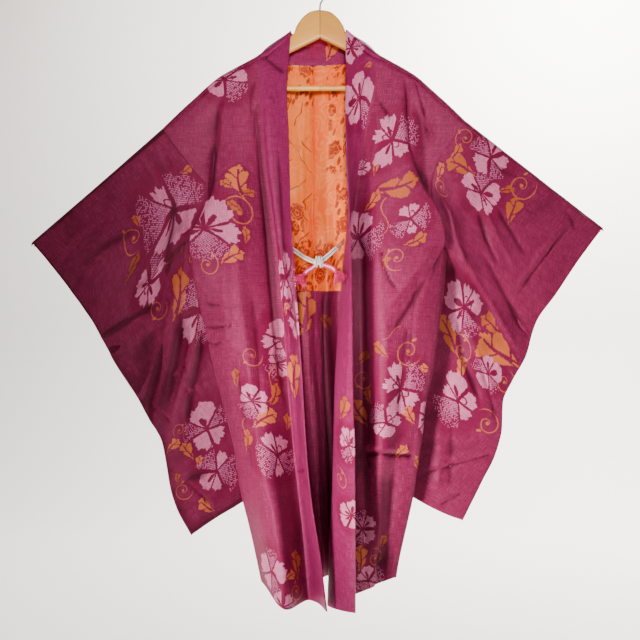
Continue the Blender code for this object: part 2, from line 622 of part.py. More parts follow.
def hanger_arms():
    """Both arms as one plate with rounded edges and a socket for the bar at each end."""
    top, end, under = wood_outline()
    half = top + end[::-1] + under[::-1]
    half = top + [end[2], end[1], end[0]] + under[:0:-1]
    outline = [(x, drop) for x, drop in half]
    outline += [(0.0, under[0][1])] + [(-x, drop) for x, drop in half[:0:-1]]

    def fill(bm):
        front = [bm.verts.new((x * MM, -WOOD_THICK / 2 * MM, -drop * MM)) for x, drop in outline]
        face = bm.faces.new(front)
        made = bmesh.ops.extrude_face_region(bm, geom=[face])
        moved = [v for v in made["geom"] if isinstance(v, bmesh.types.BMVert)]
        bmesh.ops.translate(bm, verts=moved, vec=(0.0, WOOD_THICK * MM, 0.0))
        rims = [e for e in bm.edges if abs(e.verts[0].co.y - e.verts[1].co.y) < 1e-7]
        bmesh.ops.bevel(bm, geom=rims, offset=WOOD_BEVEL * MM, segments=2, profile=0.5,
                        affect="EDGES", clamp_overlap=True)

    arms = new_object("hanger_wood", fill, "wood")
    for sign in (-1, 1):
        drill(arms, "bar_socket_%d" % sign, (sign * (BAR_SOCKET - 20.0) * MM, 0.0, -BAR_DROP * MM),
              BAR_WIDTH / 2 + SEAM_GAP, 40.0, (0.0, math.pi / 2, 0.0))
    drill(arms, "hook_hole", (0.0, 0.0, -(HOOK_STEM_FOOT + SEAM_GAP - 15.0) * MM),
          HOOK_WIRE / 2 + SEAM_GAP, 30.0, (0.0, 0.0, 0.0))
    return arms


def drill(target, name, centre, radius, depth, turn):
    """Cuts a round hole with a hidden cylinder."""
    bm = bmesh.new()
    bmesh.ops.create_cone(bm, cap_ends=True, segments=20, radius1=radius * MM,
                          radius2=radius * MM, depth=depth * MM)
    mesh = bpy.data.meshes.new(name)
    bm.to_mesh(mesh)
    bm.free()
    cutter = bpy.data.objects.new(name, mesh)
    cutter.location = centre
    cutter.rotation_euler = turn
    cutter.hide_render = True
    cutter.display_type = "WIRE"
    bpy.context.scene.collection.objects.link(cutter)
    cut = target.modifiers.new(name, "BOOLEAN")
    cut.operation = "DIFFERENCE"
    cut.object = cutter


def hanger_bar():
    """Round trouser bar between the arms."""
    def fill(bm):
        made = bmesh.ops.create_cone(bm, cap_ends=True, segments=18, radius1=BAR_WIDTH / 2 * MM,
                                     radius2=BAR_WIDTH / 2 * MM, depth=2 * BAR_END * MM)
        for vert in made["verts"]:
            x, y, z = vert.co
            vert.co = (z, y, x - BAR_DROP * MM)

    return new_object("hanger_bar", fill, "wood")


def hanger_hook():
    """Wire hook: a stem out of the wood, a bend to one side and the crown over the origin."""
    radius = HOOK_INNER + HOOK_WIRE / 2
    arc = [math.radians(a) for a in range(-20, 201, 20)]
    route = [(0.0, HOOK_STEM_FOOT), (0.0, 62.0), (0.2, 50.0), (3.5, 41.5), (10.0, 35.5), (15.8, 29.6)]
    route += [(radius * math.cos(a), HOOK_INNER - radius * math.sin(a)) for a in arc]
    return tube("hanger_hook", [(drop, x, 0.0) for x, drop in route], HOOK_WIRE, "steel", 3)


# ------------------------------------------------------------------ cords
def tube(name, route, width, material, sides=2):
    """A capped round cord through the route's points."""
    curve = bpy.data.curves.new(name, "CURVE")
    curve.dimensions = "3D"
    curve.bevel_depth = width / 2 * MM
    curve.bevel_resolution = sides
    curve.use_fill_caps = True
    spline = curve.splines.new("POLY")
    spline.points.add(len(route) - 1)
    for point, place in zip(spline.points, world(route)):
        point.co = (*place, 1.0)
    curve.materials.append(make_material(material))
    obj = bpy.data.objects.new(name, curve)
    bpy.context.scene.collection.objects.link(obj)
    return obj


def cord(name, route, width, material):
    """A tie along its route, with a point every two or three widths."""
    length = np.linalg.norm(np.diff(np.array(route, dtype=float), axis=0), axis=1).sum()
    count = max(5, int(round(length / (2.2 * width))) + 1)
    return tube(name, by_length(route, count), width, material)


def collar_loop(name, ends, material):
    """Small sewn loop that holds a tie: out, round and back, with a gap between its legs."""
    start, tip = (np.array(p, dtype=float) for p in ends)
    ahead = unit(tip - start)
    aside = unit(np.cross(ahead, np.array([0.0, 0.3, 1.0])))
    reach = np.linalg.norm(tip - start)
    angles = np.radians([90, 60, 30, 0, -30, -60, -90])
    bend = [tip + LOOP_SPREAD * (ahead * math.cos(a) + aside * math.sin(a)) for a in angles]
    legs = [start + aside * LOOP_SPREAD, start + aside * LOOP_SPREAD + ahead * reach * 0.5]
    back = [start - aside * LOOP_SPREAD + ahead * reach * 0.5, start - aside * LOOP_SPREAD]
    return tube(name, legs + bend + back, LOOP_WIDTH, material)


def knot(name, material):
    """The tied knot as one rounded lump."""
    def fill(bm):
        bmesh.ops.create_icosphere(bm, subdivisions=2, radius=1.0)
        centre = world(KNOT)
        for vert in bm.verts:
            x, y, z = vert.co
            vert.co = (centre[0] + x * KNOT_HALF[0] * MM, centre[1] + y * KNOT_HALF[2] * MM,
                       centre[2] + z * KNOT_HALF[1] * MM)

    return new_object(name, fill, material)


def tassel(name, head, ahead, material):
    """A tassel: a round head, and strands fanned from it, made one body by unions."""
    ahead = unit(np.array(ahead, dtype=float))
    side = unit(np.cross(ahead, np.array([0.0, 0.0, 1.0])))
    other = np.cross(ahead, side)
    head = np.array(head, dtype=float)
    collar = head + ahead * (3.2 + SEAM_GAP)

    def lump(bm):
        bmesh.ops.create_icosphere(bm, subdivisions=2, radius=1.0)
        for vert in bm.verts:
            x, y, z = vert.co
            place = collar + ahead * z * 3.2 + side * x * 3.0 + other * y * 3.0
            vert.co = world(place)

    body = new_object(name, lump, material)
    golden = math.pi * (3 - math.sqrt(5))
    for k in range(TASSEL_STRANDS):
        spread = math.sqrt((k + 0.5) / TASSEL_STRANDS)
        turn = k * golden
        away = side * math.cos(turn) + other * math.sin(turn)
        root = collar + ahead * 1.0 + away * spread * 2.1
        lean = unit(ahead + away * spread * 0.32)
        droop = np.array([0.35 * spread, 0.0, 0.0])
        path = [root + (lean + droop * t) * TASSEL_LENGTH * t for t in (0.0, 0.45, 1.0)]
        strand(name + "_strand_%02d" % k, path, 0.42, body)
    return body


def strand(name, path, radius, body):
    """A three-sided strand joined to the tassel by a hidden union."""
    points = [world(p) for p in path]

    def fill(bm):
        rings = []
        for index, point in enumerate(points):
            ahead = unit(points[min(index + 1, len(points) - 1)] - points[max(index - 1, 0)])
            side = unit(np.cross(ahead, np.array([0.31, 0.9, 0.29])))
            other = np.cross(ahead, side)
            rings.append([bm.verts.new(point + radius * MM * (side * math.cos(a) + other * math.sin(a)))
                          for a in (0.0, 2 * math.pi / 3, 4 * math.pi / 3)])
        bm.faces.new(rings[0][::-1])
        bm.faces.new(rings[-1])
        for low, high in zip(rings[:-1], rings[1:]):
            for k in range(3):
                n = (k + 1) % 3
                bm.faces.new((low[k], low[n], high[n], high[k]))

    piece = new_object(name, fill, "tassel")
    piece.hide_render = True
    piece.display_type = "WIRE"
    join = body.modifiers.new(name, "BOOLEAN")
    join.operation = "UNION"
    join.object = piece


# ------------------------------------------------------------------ the whole part
def clear_scene():
    """Removes what the file opened with."""
    for obj in list(bpy.data.objects):
        bpy.data.objects.remove(obj, do_unlink=True)


def seam_rows(panel, way, side):
    """Where the sleeve is sewn: a panel's outer edge from the shoulder to the underarm."""
    rows = [j for j in range(panel.shape[1]) if panel[-1, j, 0] < UNDERARM[side] - 6]
    return panel[-1, rows] + way[rows] * ARMHOLE_GAP, way[rows]


def gusset(side, front, front_way, back, back_way):
    """Wedge between the outer edges of front and back, under the arm: grid and its ways."""
    rows = [j for j in range(front.shape[1])
            if front[-1, j, 0] > UNDERARM[side] + 8 and back[-1, j, 0] > UNDERARM[side] + 8]
    start = front[-1, rows] + front_way[rows] * SEAM_GAP
    end = back[-1, rows] + back_way[rows] * SEAM_GAP
    span = np.linalg.norm(end - start, axis=1, keepdims=True) * GUSSET_SWELL[side]
    grid = np.array([hermite(start, end, front_way[rows] * span, -back_way[rows] * span,
                             np.full(len(rows), i / GUSSET_STEPS))
                     for i in range(GUSSET_STEPS + 1)])
    return grid, (front_way[rows], -back_way[rows])


def build():
    """Makes every solid of the part."""
    clear_scene()
    for side in SIDES:
        front, at_seam, at_outer = front_panel(side)
        back, at_centre, back_outer = back_panel(side)
        back_normals = panel_normals(back, (at_centre, back_outer), np.s_[NECK_COLUMNS:])
        sheet_solid("front_" + side, front, CLOTH, "silk",
                    panel_normals(front, (at_seam, at_outer), np.s_[:]))
        sheet_solid("back_" + side, back, CLOTH, "silk", back_normals)

        neck, neck_way = neck_collar(side, back, back_normals)
        down_front = front_collar(side, front, at_seam)
        down_front[:, 0] = (down_front[:, 0] + neck[:, 0]) / 2
        band = np.concatenate([neck[:, :0:-1], down_front], axis=1)
        band_way = np.concatenate([neck_way[:0:-1], at_seam])
        band_normals = panel_normals(band, (None, band_way))
        band_normals[:, 0, 0] = 0.0
        sheet_solid("collar_" + side, band, COLLAR_CLOTH, "collar_silk", unit(band_normals))

        wedge, wedge_ways = gusset(side, front, at_outer, back, back_outer)
        sheet_solid("gusset_" + side, wedge, CLOTH, "silk", panel_normals(wedge, wedge_ways))
        seams = (seam_rows(front, at_outer, side), seam_rows(back, back_outer, side))
        sleeve_solid("sleeve_" + side, side, seams, "silk")

        rows = [j for j in range(1, back.shape[1]) if back[0, j, 0] < LINING_BOTTOM]
        picked = np.s_[:LINING_COLUMNS, rows[0]:rows[-1] + 1]
        inside = (CLOTH + LINING_CLOTH) / 2 + LINING_GAP
        facing = -1 if np.mean(back_normals[..., 1]) > 0 else 1
        sheet_solid("lining_" + side, back[picked], LINING_CLOTH, "lining_silk",
                    back_normals[picked], facing * inside)

        collar_loop("loop_" + side, LOOPS[side], "braid")
        cord("tie_" + side, TIES[side], TIE_WIDTH, "braid")
        cord("tail_" + side, TAILS[side], TAIL_WIDTH, "tassel")
        ahead = np.array(TAILS[side][-1], dtype=float) - np.array(TAILS[side][-2], dtype=float)
        tassel("tassel_" + side, TAILS[side][-1], ahead, "tassel")
    knot("tie_knot", "braid")
    hanger_arms()
    hanger_bar()
    hanger_hook()


build()
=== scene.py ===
"""Haori jacket on a wooden hanger: cloth, pattern, lining, ties and wood around the solids.

Cloth is worked out in millimetres, as in the part's source: a place is (drop, x, depth), how
far below the origin, how far to the wearer's left and how far back.  Every piece is then made
in metres.  Names say right and left as the wearer does.
"""

import math
from functools import partialmethod

import bmesh
import bpy
import numpy as np
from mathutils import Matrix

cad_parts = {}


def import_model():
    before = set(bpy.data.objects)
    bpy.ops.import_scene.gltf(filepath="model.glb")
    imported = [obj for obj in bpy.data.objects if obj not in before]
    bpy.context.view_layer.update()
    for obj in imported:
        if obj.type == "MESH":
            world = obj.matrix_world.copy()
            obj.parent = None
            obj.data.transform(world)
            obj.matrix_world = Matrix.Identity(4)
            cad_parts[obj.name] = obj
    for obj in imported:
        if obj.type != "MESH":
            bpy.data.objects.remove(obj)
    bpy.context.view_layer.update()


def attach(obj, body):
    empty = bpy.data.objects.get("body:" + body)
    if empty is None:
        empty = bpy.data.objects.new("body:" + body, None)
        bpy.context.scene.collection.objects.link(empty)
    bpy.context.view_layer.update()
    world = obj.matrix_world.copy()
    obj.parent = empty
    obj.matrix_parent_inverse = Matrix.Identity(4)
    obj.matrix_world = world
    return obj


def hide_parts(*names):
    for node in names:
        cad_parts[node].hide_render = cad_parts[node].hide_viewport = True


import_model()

# ------------------------------------------------------------------ driving sizes, mm
MM = 0.001
CLOTH, COLLAR_CLOTH, LINING_CLOTH = 1.5, 2.4, 0.9       # how thick each is
# from the edge of one cloth to the edge of the next at a seam; below nought, they overlap
SEAM_GAP, COLLAR_GAP, ARMHOLE_GAP = -0.9, -0.8, -0.9
NECK_GAP, CORNER_GAP = 0.4, 1.3
LINING_GAP = 1.1            # between the faces of body and lining
ROLL = 9.5                  # radius of the fold over the shoulder
SHOULDER_EASE = 120.0       # drop over which a panel's columns ease from the shoulder line
MIRROR_REACH = 30.0         # how far past the centre seam the back's curve is led
ROLL_STEPS = tuple(range(0, 91, 10))
LAST_ROLL = len(ROLL_STEPS) - 1

FINE = 5                    # cells of the cloth across one cell of the plain solid
LEVEL = 500.0               # drop at which the rows of every line of the body agree
UPPER_ROWS, LOWER_ROWS = 81, 144
COLLAR_STEPS, COLLAR_SWELL = 22, 0.6
GUSSET_STEPS, GUSSET_SWELL = 12, {"right": 0.6, "left": 2.0}
LINING_BOTTOM, LINING_COLUMNS = 563.0, 13 * FINE
SLEEVE_STEPS, FREE_ROWS = 96, 90
WRIST_LENGTH, WRIST_GAP, BAG_GAP = 235.0, 16.0, 28.0
WRIST_EASE = 60.0           # length over which the wrist's opening closes
FREE_PACKING = 1.15         # over 1, the rows below the underarm lie closer at their top
# the top takes the wrist's roll, and leaves the armhole's, in one part of so many of its length
WRIST_ROLL_PARTS, SEAM_ROLL_PARTS = 2.5, 2.25
ABOVE_UNDERARM, BELOW_UNDERARM = 3, 2       # where the sleeve ends and the gusset starts
SEWN_GAP, SEWN_INSET = 2.6, 2.4
FOOT_SLACK = (0.4, 1.4)     # how far the inner wall of a sleeve's foot stands off, and grows
HIDDEN_RELIEF = 0.7         # folds on the back of a sleeve against those on its front
CLOTH_EDGE, WOOD_EDGE = 55, 40      # degrees past which an edge shows as sharp

WOOD_THICK, WOOD_CLEAR, WOOD_ROUNDING = 12.0, 3.6, 4.6
HOOK_WIRE, HOOK_INNER, HOOK_STEM_FOOT = 3.2, 18.0, 78.0
BAR_DROP, BAR_WIDTH, BAR_END = 198.6, 9.6, 170.0

TIE_WIDTH, TIE_THICK = 7.6, 3.0
TAIL_WIDTH, TAIL_THICK = 7.6, 1.9
KNOT_BAND = 5.8
LOOP_WIDTH = 2.4
TASSEL_STRANDS, TASSEL_LENGTH, TASSEL_SPREAD, STRAND_RADIUS = 125, 19.0, 3.4, 0.8
STRAND_STEPS, STRAND_TAPER, STRAND_CURL = 7, 0.3, 2.2
HEAD_FROM, HEAD_TO, HEAD_WIDTH, HEAD_THICK = -3.0, 2.4, 6.4, 5.2    # the tassel's bound head
BRAID_SIDES, PLAIT_LENGTH = 24, 1.6
STITCH_EVERY, STITCH_SHAPE = 5.5, (0.26, 0.26, 0.95)

EYE_BACK, EYE_DROP = 1500.0, 615.6      # the camera, before and below the hanger's hook
HALF_VIEW, FILM = 576.0, 36.0           # half the width seen at the hanger; the camera's film
GLOW, GLOW_TINT = 0.26, (1.0, 0.99, 0.98, 1.0)      # the even light from all round
# the room in metres, as are the lights
FLOOR_Z, FLOOR_FRONT, WALL_Y, WALL_TOP, WALL_BEND, ROOM_SIDE = -1.62, -6.0, 3.4, 4.5, 1.0, 7.0

# (name, place, aim, size, power, spread, tint), in metres, watts and degrees
LIGHTS = (
    ("window", (-1.4, -1.7, -0.75), (0.24, 0.0, -0.68), 0.4, 2.15, 24, (1.0, 0.985, 0.97)),
    ("low", (-1.2, -1.6, -1.25), (0.0, 0.0, -0.98), 0.3, 0.62, 15, (1.0, 0.985, 0.97)),
    ("front", (0.1, -2.4, -0.4), (0.0, 0.0, -0.22), 0.3, 0.98, 20, (1.0, 0.99, 0.98)),
    ("middle", (-0.06, -2.3, -0.85), (-0.012, 0.0, -0.66), 0.2, 0.34, 13, (1.0, 0.985, 0.97)),
    ("fill", (1.3, -2.2, 0.1), (0.0, 0.0, -0.6), 1.6, 2.6, 180, (0.98, 0.99, 1.0)),
    ("wall_left", (-0.7, 1.9, 1.5), (-0.5, 3.4, -0.9), 1.6, 60.0, 180, (1.0, 0.92, 0.84)),
    ("wall_right", (1.6, 1.9, 1.5), (1.4, 3.4, -0.9), 1.6, 430.0, 180, (1.0, 0.995, 0.985)),
)

# ------------------------------------------------------------------ lines of the cloth
# (distance from the middle, drop): from the collar's free edge to the armhole
SHOULDER = {
    "right": ((52, 96), (79, 121), (110, 140), (156, 165), (176, 176), (196, 191),
              (218, 211), (252, 242), (283, 272)),
    "left": ((47, 94), (76, 120), (106, 139), (144, 160), (172, 177), (202, 203),
             (231, 229), (260, 257)),
}

# (drop, x, depth) down each line of a front
FRONT = {
    "right": {
        "edge": ((96, -52, -9), (139, -55, -15), (211, -59, -24), (285, -56, -29),
            (407, -53, -38), (488, -48, -42), (672, -35, -42), (875, -22, -42), (938, -15, -42),
            (1039, 1, -42), (1126, 12, -42)),
        "seam": ((140, -110, -9), (208, -105, -10), (316, -99, -6), (410, -87, 2), (549, -71, 8),
            (761, -55, 10), (882, -44, 10), (996, -31, 10), (1123, -20, 10)),
        "crest": ((158, -140, -9), (300, -141, -14), (450, -147, -18), (616, -137, -22),
            (757, -106, -28), (894, -94, -32), (1029, -72, -33), (1125, -62, -33)),
        "turn": ((171, -166, -9), (262, -174, -10), (353, -184, -12), (376, -192, -13),
            (427, -208, -14), (460, -227, -11), (480, -232, -8), (513, -228, -5), (616, -209, 5),
            (690, -192, 10), (783, -170, 15), (855, -152, 20), (933, -141, 25), (1043, -116, 28),
            (1098, -105, 30)),
        "tuck": ((184, -187, -9), (215, -187, -8.6), (262, -188, -2), (330, -190, 4),
            (376, -192, 8), (410, -197, 9), (440, -215, 4), (470, -232, 0), (513, -230, 4),
            (616, -211, 13), (690, -195, 18), (783, -173, 23), (855, -155, 28), (933, -144, 33),
            (1043, -119, 36), (1097, -108, 38)),
        "outer": ((272, -283, -9), (312, -253, -2), (350, -224, 6), (372, -206, 12),
            (400, -208, 14), (440, -221, 11), (465, -227, 9), (513, -224, 13), (616, -205, 22),
            (690, -189, 27), (783, -167, 32), (855, -149, 37), (933, -138, 41), (1043, -113, 44),
            (1096, -102, 46)),
    },
    "left": {
        "edge": ((94, 47, -9), (143, 46, -15), (244, 46, -26), (334, 47, -34), (407, 50, -40),
            (488, 53, -44), (582, 56, -45), (755, 58, -45), (860, 61, -45), (1127, 62, -45)),
        "seam": ((139, 106, -9), (204, 95, -9), (244, 85, -6), (321, 72, 6), (385, 62, 14),
            (470, 49, 18), (581, 38, 18), (761, 27, 13), (887, 24, 9), (1013, 18, 7),
            (1130, 14, 5)),
        "valley": ((146, 118, -9), (244, 100, -8), (321, 88, 3), (400, 78, 14), (470, 73, 20),
            (560, 73, 24), (760, 77, 25), (872, 77, 25), (1117, 70, 31)),
        "crest": ((156, 137, -9), (244, 130, -12), (321, 124, -13), (400, 118, -12),
            (470, 112, -10), (560, 108, -7), (760, 110, -8), (872, 110, 2), (1010, 104, 22),
            (1108, 98, 36)),
        "turn": ((167, 159, -9), (262, 161, -11), (298, 163, -12), (362, 175, -13),
            (408, 204, -12), (440, 217, -8), (470, 220, -6), (520, 196, -7), (580, 177, -5),
            (690, 159, 1), (765, 147, 6), (847, 139, 14), (938, 131, 25), (1069, 108, 38),
            (1104, 104, 40)),
        "tuck": ((186, 182, -9), (215, 182, -8.6), (262, 181, -1), (330, 184, 5), (373, 188, 8),
            (412, 199, 8), (440, 211, 5), (470, 221, 1), (520, 208, -1), (580, 196, 0),
            (690, 181, 6), (765, 168, 11), (847, 160, 18), (938, 150, 28), (1069, 126, 40),
            (1098, 122, 42)),
        "outer": ((257, 260, -9), (301, 229, -1), (345, 205, 9), (372, 200, 13), (400, 204, 14),
            (440, 217, 12), (484, 224, 7), (520, 219, 6), (580, 211, 7), (690, 198, 12),
            (765, 184, 17), (847, 176, 23), (938, 165, 32), (1069, 140, 43), (1093, 137, 45)),
    },
}
UNDERARM = {"right": 465.0, "left": 484.0}

# (drop, x, depth) down each line of a back
CENTRE_BACK = ((147, -13, 38), (200, -13, 42), (300, -13, 47), (430, -13, 50),
               (562, -10, 50), (700, -4, 50), (900, 8, 50), (1090, 20, 52))
BACK = {
    "right": {
        "centre": CENTRE_BACK,
        "nape": ((146, -62, 34), (200, -58, 36), (300, -50, 38), (430, -38, 40), (562, -26, 38),
            (700, -18, 34), (900, -4, 33), (1090, 3, 36)),
        "neck": ((140, -110, 9), (200, -108, 20), (300, -100, 34), (430, -80, 46),
            (562, -58, 54), (700, -44, 58), (900, -27, 60), (1090, -17, 63)),
        "blade": ((165, -156, 9), (230, -154, 16), (300, -150, 26), (430, -128, 38),
            (562, -104, 42), (700, -84, 43), (900, -58, 45), (1090, -38, 47)),
        "wing": ((195, -200, 9), (262, -196, 14), (330, -186, 24), (430, -173, 36),
            (562, -154, 50), (700, -124, 58), (900, -88, 62), (1090, -58, 67)),
        "outer": ((272, -283, 9), (312, -253, 14), (350, -226, 20), (372, -209, 26),
            (400, -208, 29), (440, -216, 29), (465, -221, 28), (513, -211, 35), (616, -188, 44),
            (690, -170, 47), (783, -146, 49), (855, -128, 51), (933, -116, 53), (1043, -92, 55),
            (1092, -80, 55)),
    },
    "left": {
        "centre": CENTRE_BACK,
        "nape": ((146, 38, 34), (200, 36, 36), (300, 28, 40), (430, 20, 46), (562, 14, 61),
            (700, 18, 67), (900, 28, 68), (1090, 36, 69)),
        "neck": ((139, 106, 9), (200, 104, 20), (300, 94, 32), (430, 66, 39), (562, 38, 43),
            (700, 38, 44), (900, 46, 44), (1090, 56, 46)),
        "blade": ((163, 150, 9), (230, 149, 16), (300, 144, 28), (430, 124, 42), (562, 94, 54),
            (700, 84, 60), (900, 80, 63), (1090, 79, 69)),
        "wing": ((196, 196, 9), (262, 191, 14), (330, 183, 23), (430, 176, 33), (562, 156, 42),
            (700, 136, 46), (900, 116, 48), (1090, 102, 50)),
        "outer": ((257, 260, 9), (301, 229, 15), (345, 206, 22), (368, 201, 27), (400, 204, 30),
            (440, 213, 31), (484, 218, 30), (520, 210, 36), (580, 198, 43), (690, 182, 47),
            (765, 170, 49), (847, 161, 52), (938, 149, 56), (1069, 124, 60), (1092, 120, 60)),
    },
}
NECK_LINES = ("centre", "nape")
NECK_COLUMNS = 6 * FINE

# the neckline of the back, from the centre (0) to the shoulder (1): (part, drop, x, depth)
NECKLINE = {
    "right": ((0.0, 147, -13, 38), (0.4, 146, -62, 35), (0.7, 144.5, -82, 24),
              (0.88, 142, -103, 9), (1.0, 140, -110, 0.15)),
    "left": ((0.0, 147, -13, 38), (0.4, 146, 38, 35), (0.7, 144.5, 76, 24),
             (0.88, 141, 99, 9), (1.0, 139, 106, 0.15)),
}
# the collar's free edge behind the neck: (part of the way round, drop, x, depth)
NECK_EDGE = {
    "right": ((0.0, 96, -52, 0), (0.3, 94, -52, 17), (0.6, 90, -42, 33), (1.0, 88, -13, 43)),
    "left": ((0.0, 94, 47, 0), (0.3, 93, 47, 17), (0.6, 90, 32, 33), (1.0, 88, -13, 43)),
}
# (drop, x, depth) along each edge of a sleeve
SLEEVE = {
    "right": {
        "top": ((272, -283, 0), (369, -405, 26), (471, -534, 50)),
        "cuff": ((471, -534, 50), (508, -503, 52), (564, -460, 55), (617, -424, 57),
            (692, -386, 60), (752, -348, 62), (806, -318, 63), (843, -297, 64), (883, -289, 65),
            (933, -281, 67), (968, -270, 68), (1020, -243, 70)),
        "bottom": ((1020, -243, 70), (989, -197, 74), (957, -144, 79), (908, -90, 84),
            (862, -40, 86)),
        "open_front": ((465, -228, 9), (480, -234, 22), (498, -233, 37), (522, -222, 49),
            (556, -204, 57), (600, -186, 63), (680, -150, 70), (775, -94, 76), (862, -40, 78)),
        "open_back": ((465, -222, 29), (480, -228, 42), (498, -228, 56), (522, -218, 67),
            (556, -200, 75), (600, -182, 81), (680, -147, 88), (775, -92, 93), (862, -40, 94)),
    },
    "left": {
        "top": ((257, 260, 0), (345, 385, 26), (444, 524, 50)),
        "cuff": ((444, 524, 50), (495, 486, 52), (567, 438, 55), (616, 405, 57), (681, 386, 60),
            (730, 360, 62), (769, 343, 63), (818, 341, 64), (865, 330, 65), (922, 303, 67),
            (992, 269, 70)),
        "bottom": ((992, 269, 70), (985, 247, 71), (949, 174, 77), (898, 100, 84),
            (855, 40, 86)),
        "open_front": ((484, 226, 7), (498, 232, 20), (514, 231, 35), (536, 221, 48),
            (568, 204, 57), (610, 186, 63), (690, 150, 70), (775, 94, 76), (855, 40, 78)),
        "open_back": ((484, 219, 31), (498, 226, 42), (514, 226, 55), (536, 217, 67),
            (568, 200, 75), (610, 182, 81), (690, 147, 88), (775, 92, 93), (855, 40, 94)),
    },
}
# (distance from the middle, drop) round the hanger's arms
WOOD_CROWN = ((0, 58), (14, 60), (27, 67.5), (40, 83), (44.6, 92.5), (46, 98.5), (53, 105))
WOOD_UNDER = ((0, 108.5), (56, 136), (110, 166), (150, 190), (170, 205))
WOOD_END = ((180, 207), (184, 200), (180, 192.5))
WOOD_LAST_UNDER_CLOTH = 172.0

# (drop, x, depth) along the ties
TIES = {
    "right": ((481, -66.3, 3.6), (484, -57.5, -3.5), (489, -49, -9), (497, -38, -15),
              (505, -26, -21), (511, -14, -25), (513, -8.55, -26)),
    "left": ((486.5, 30.6, -8.4), (491, 25, -14), (497, 19, -19), (504, 11, -23.5),
             (509.7, 4.2, -26.2)),
}
TAILS = {
    "right": ((518.3, -7.1, -26.6), (523, -13, -29), (526.5, -18, -31), (530, -23, -33),
              (534.5, -26.5, -34)),
    "left": ((517.3, 3.8, -26.7), (520, 11, -29), (522, 17, -31), (525, 22.5, -33),
             (529.5, 26.5, -34)),
}
LOOPS = {
    "right": ((477, -74.2, 6.8), (479.5, -68.5, 5.5)),
    "left": ((474, 41.9, 7.4), (484.4, 32.6, -6.0)),
}
LOOP_SPREAD = 2.2
KNOT = (513, -2, -27)
SIDES = {"right": -1, "left": 1}

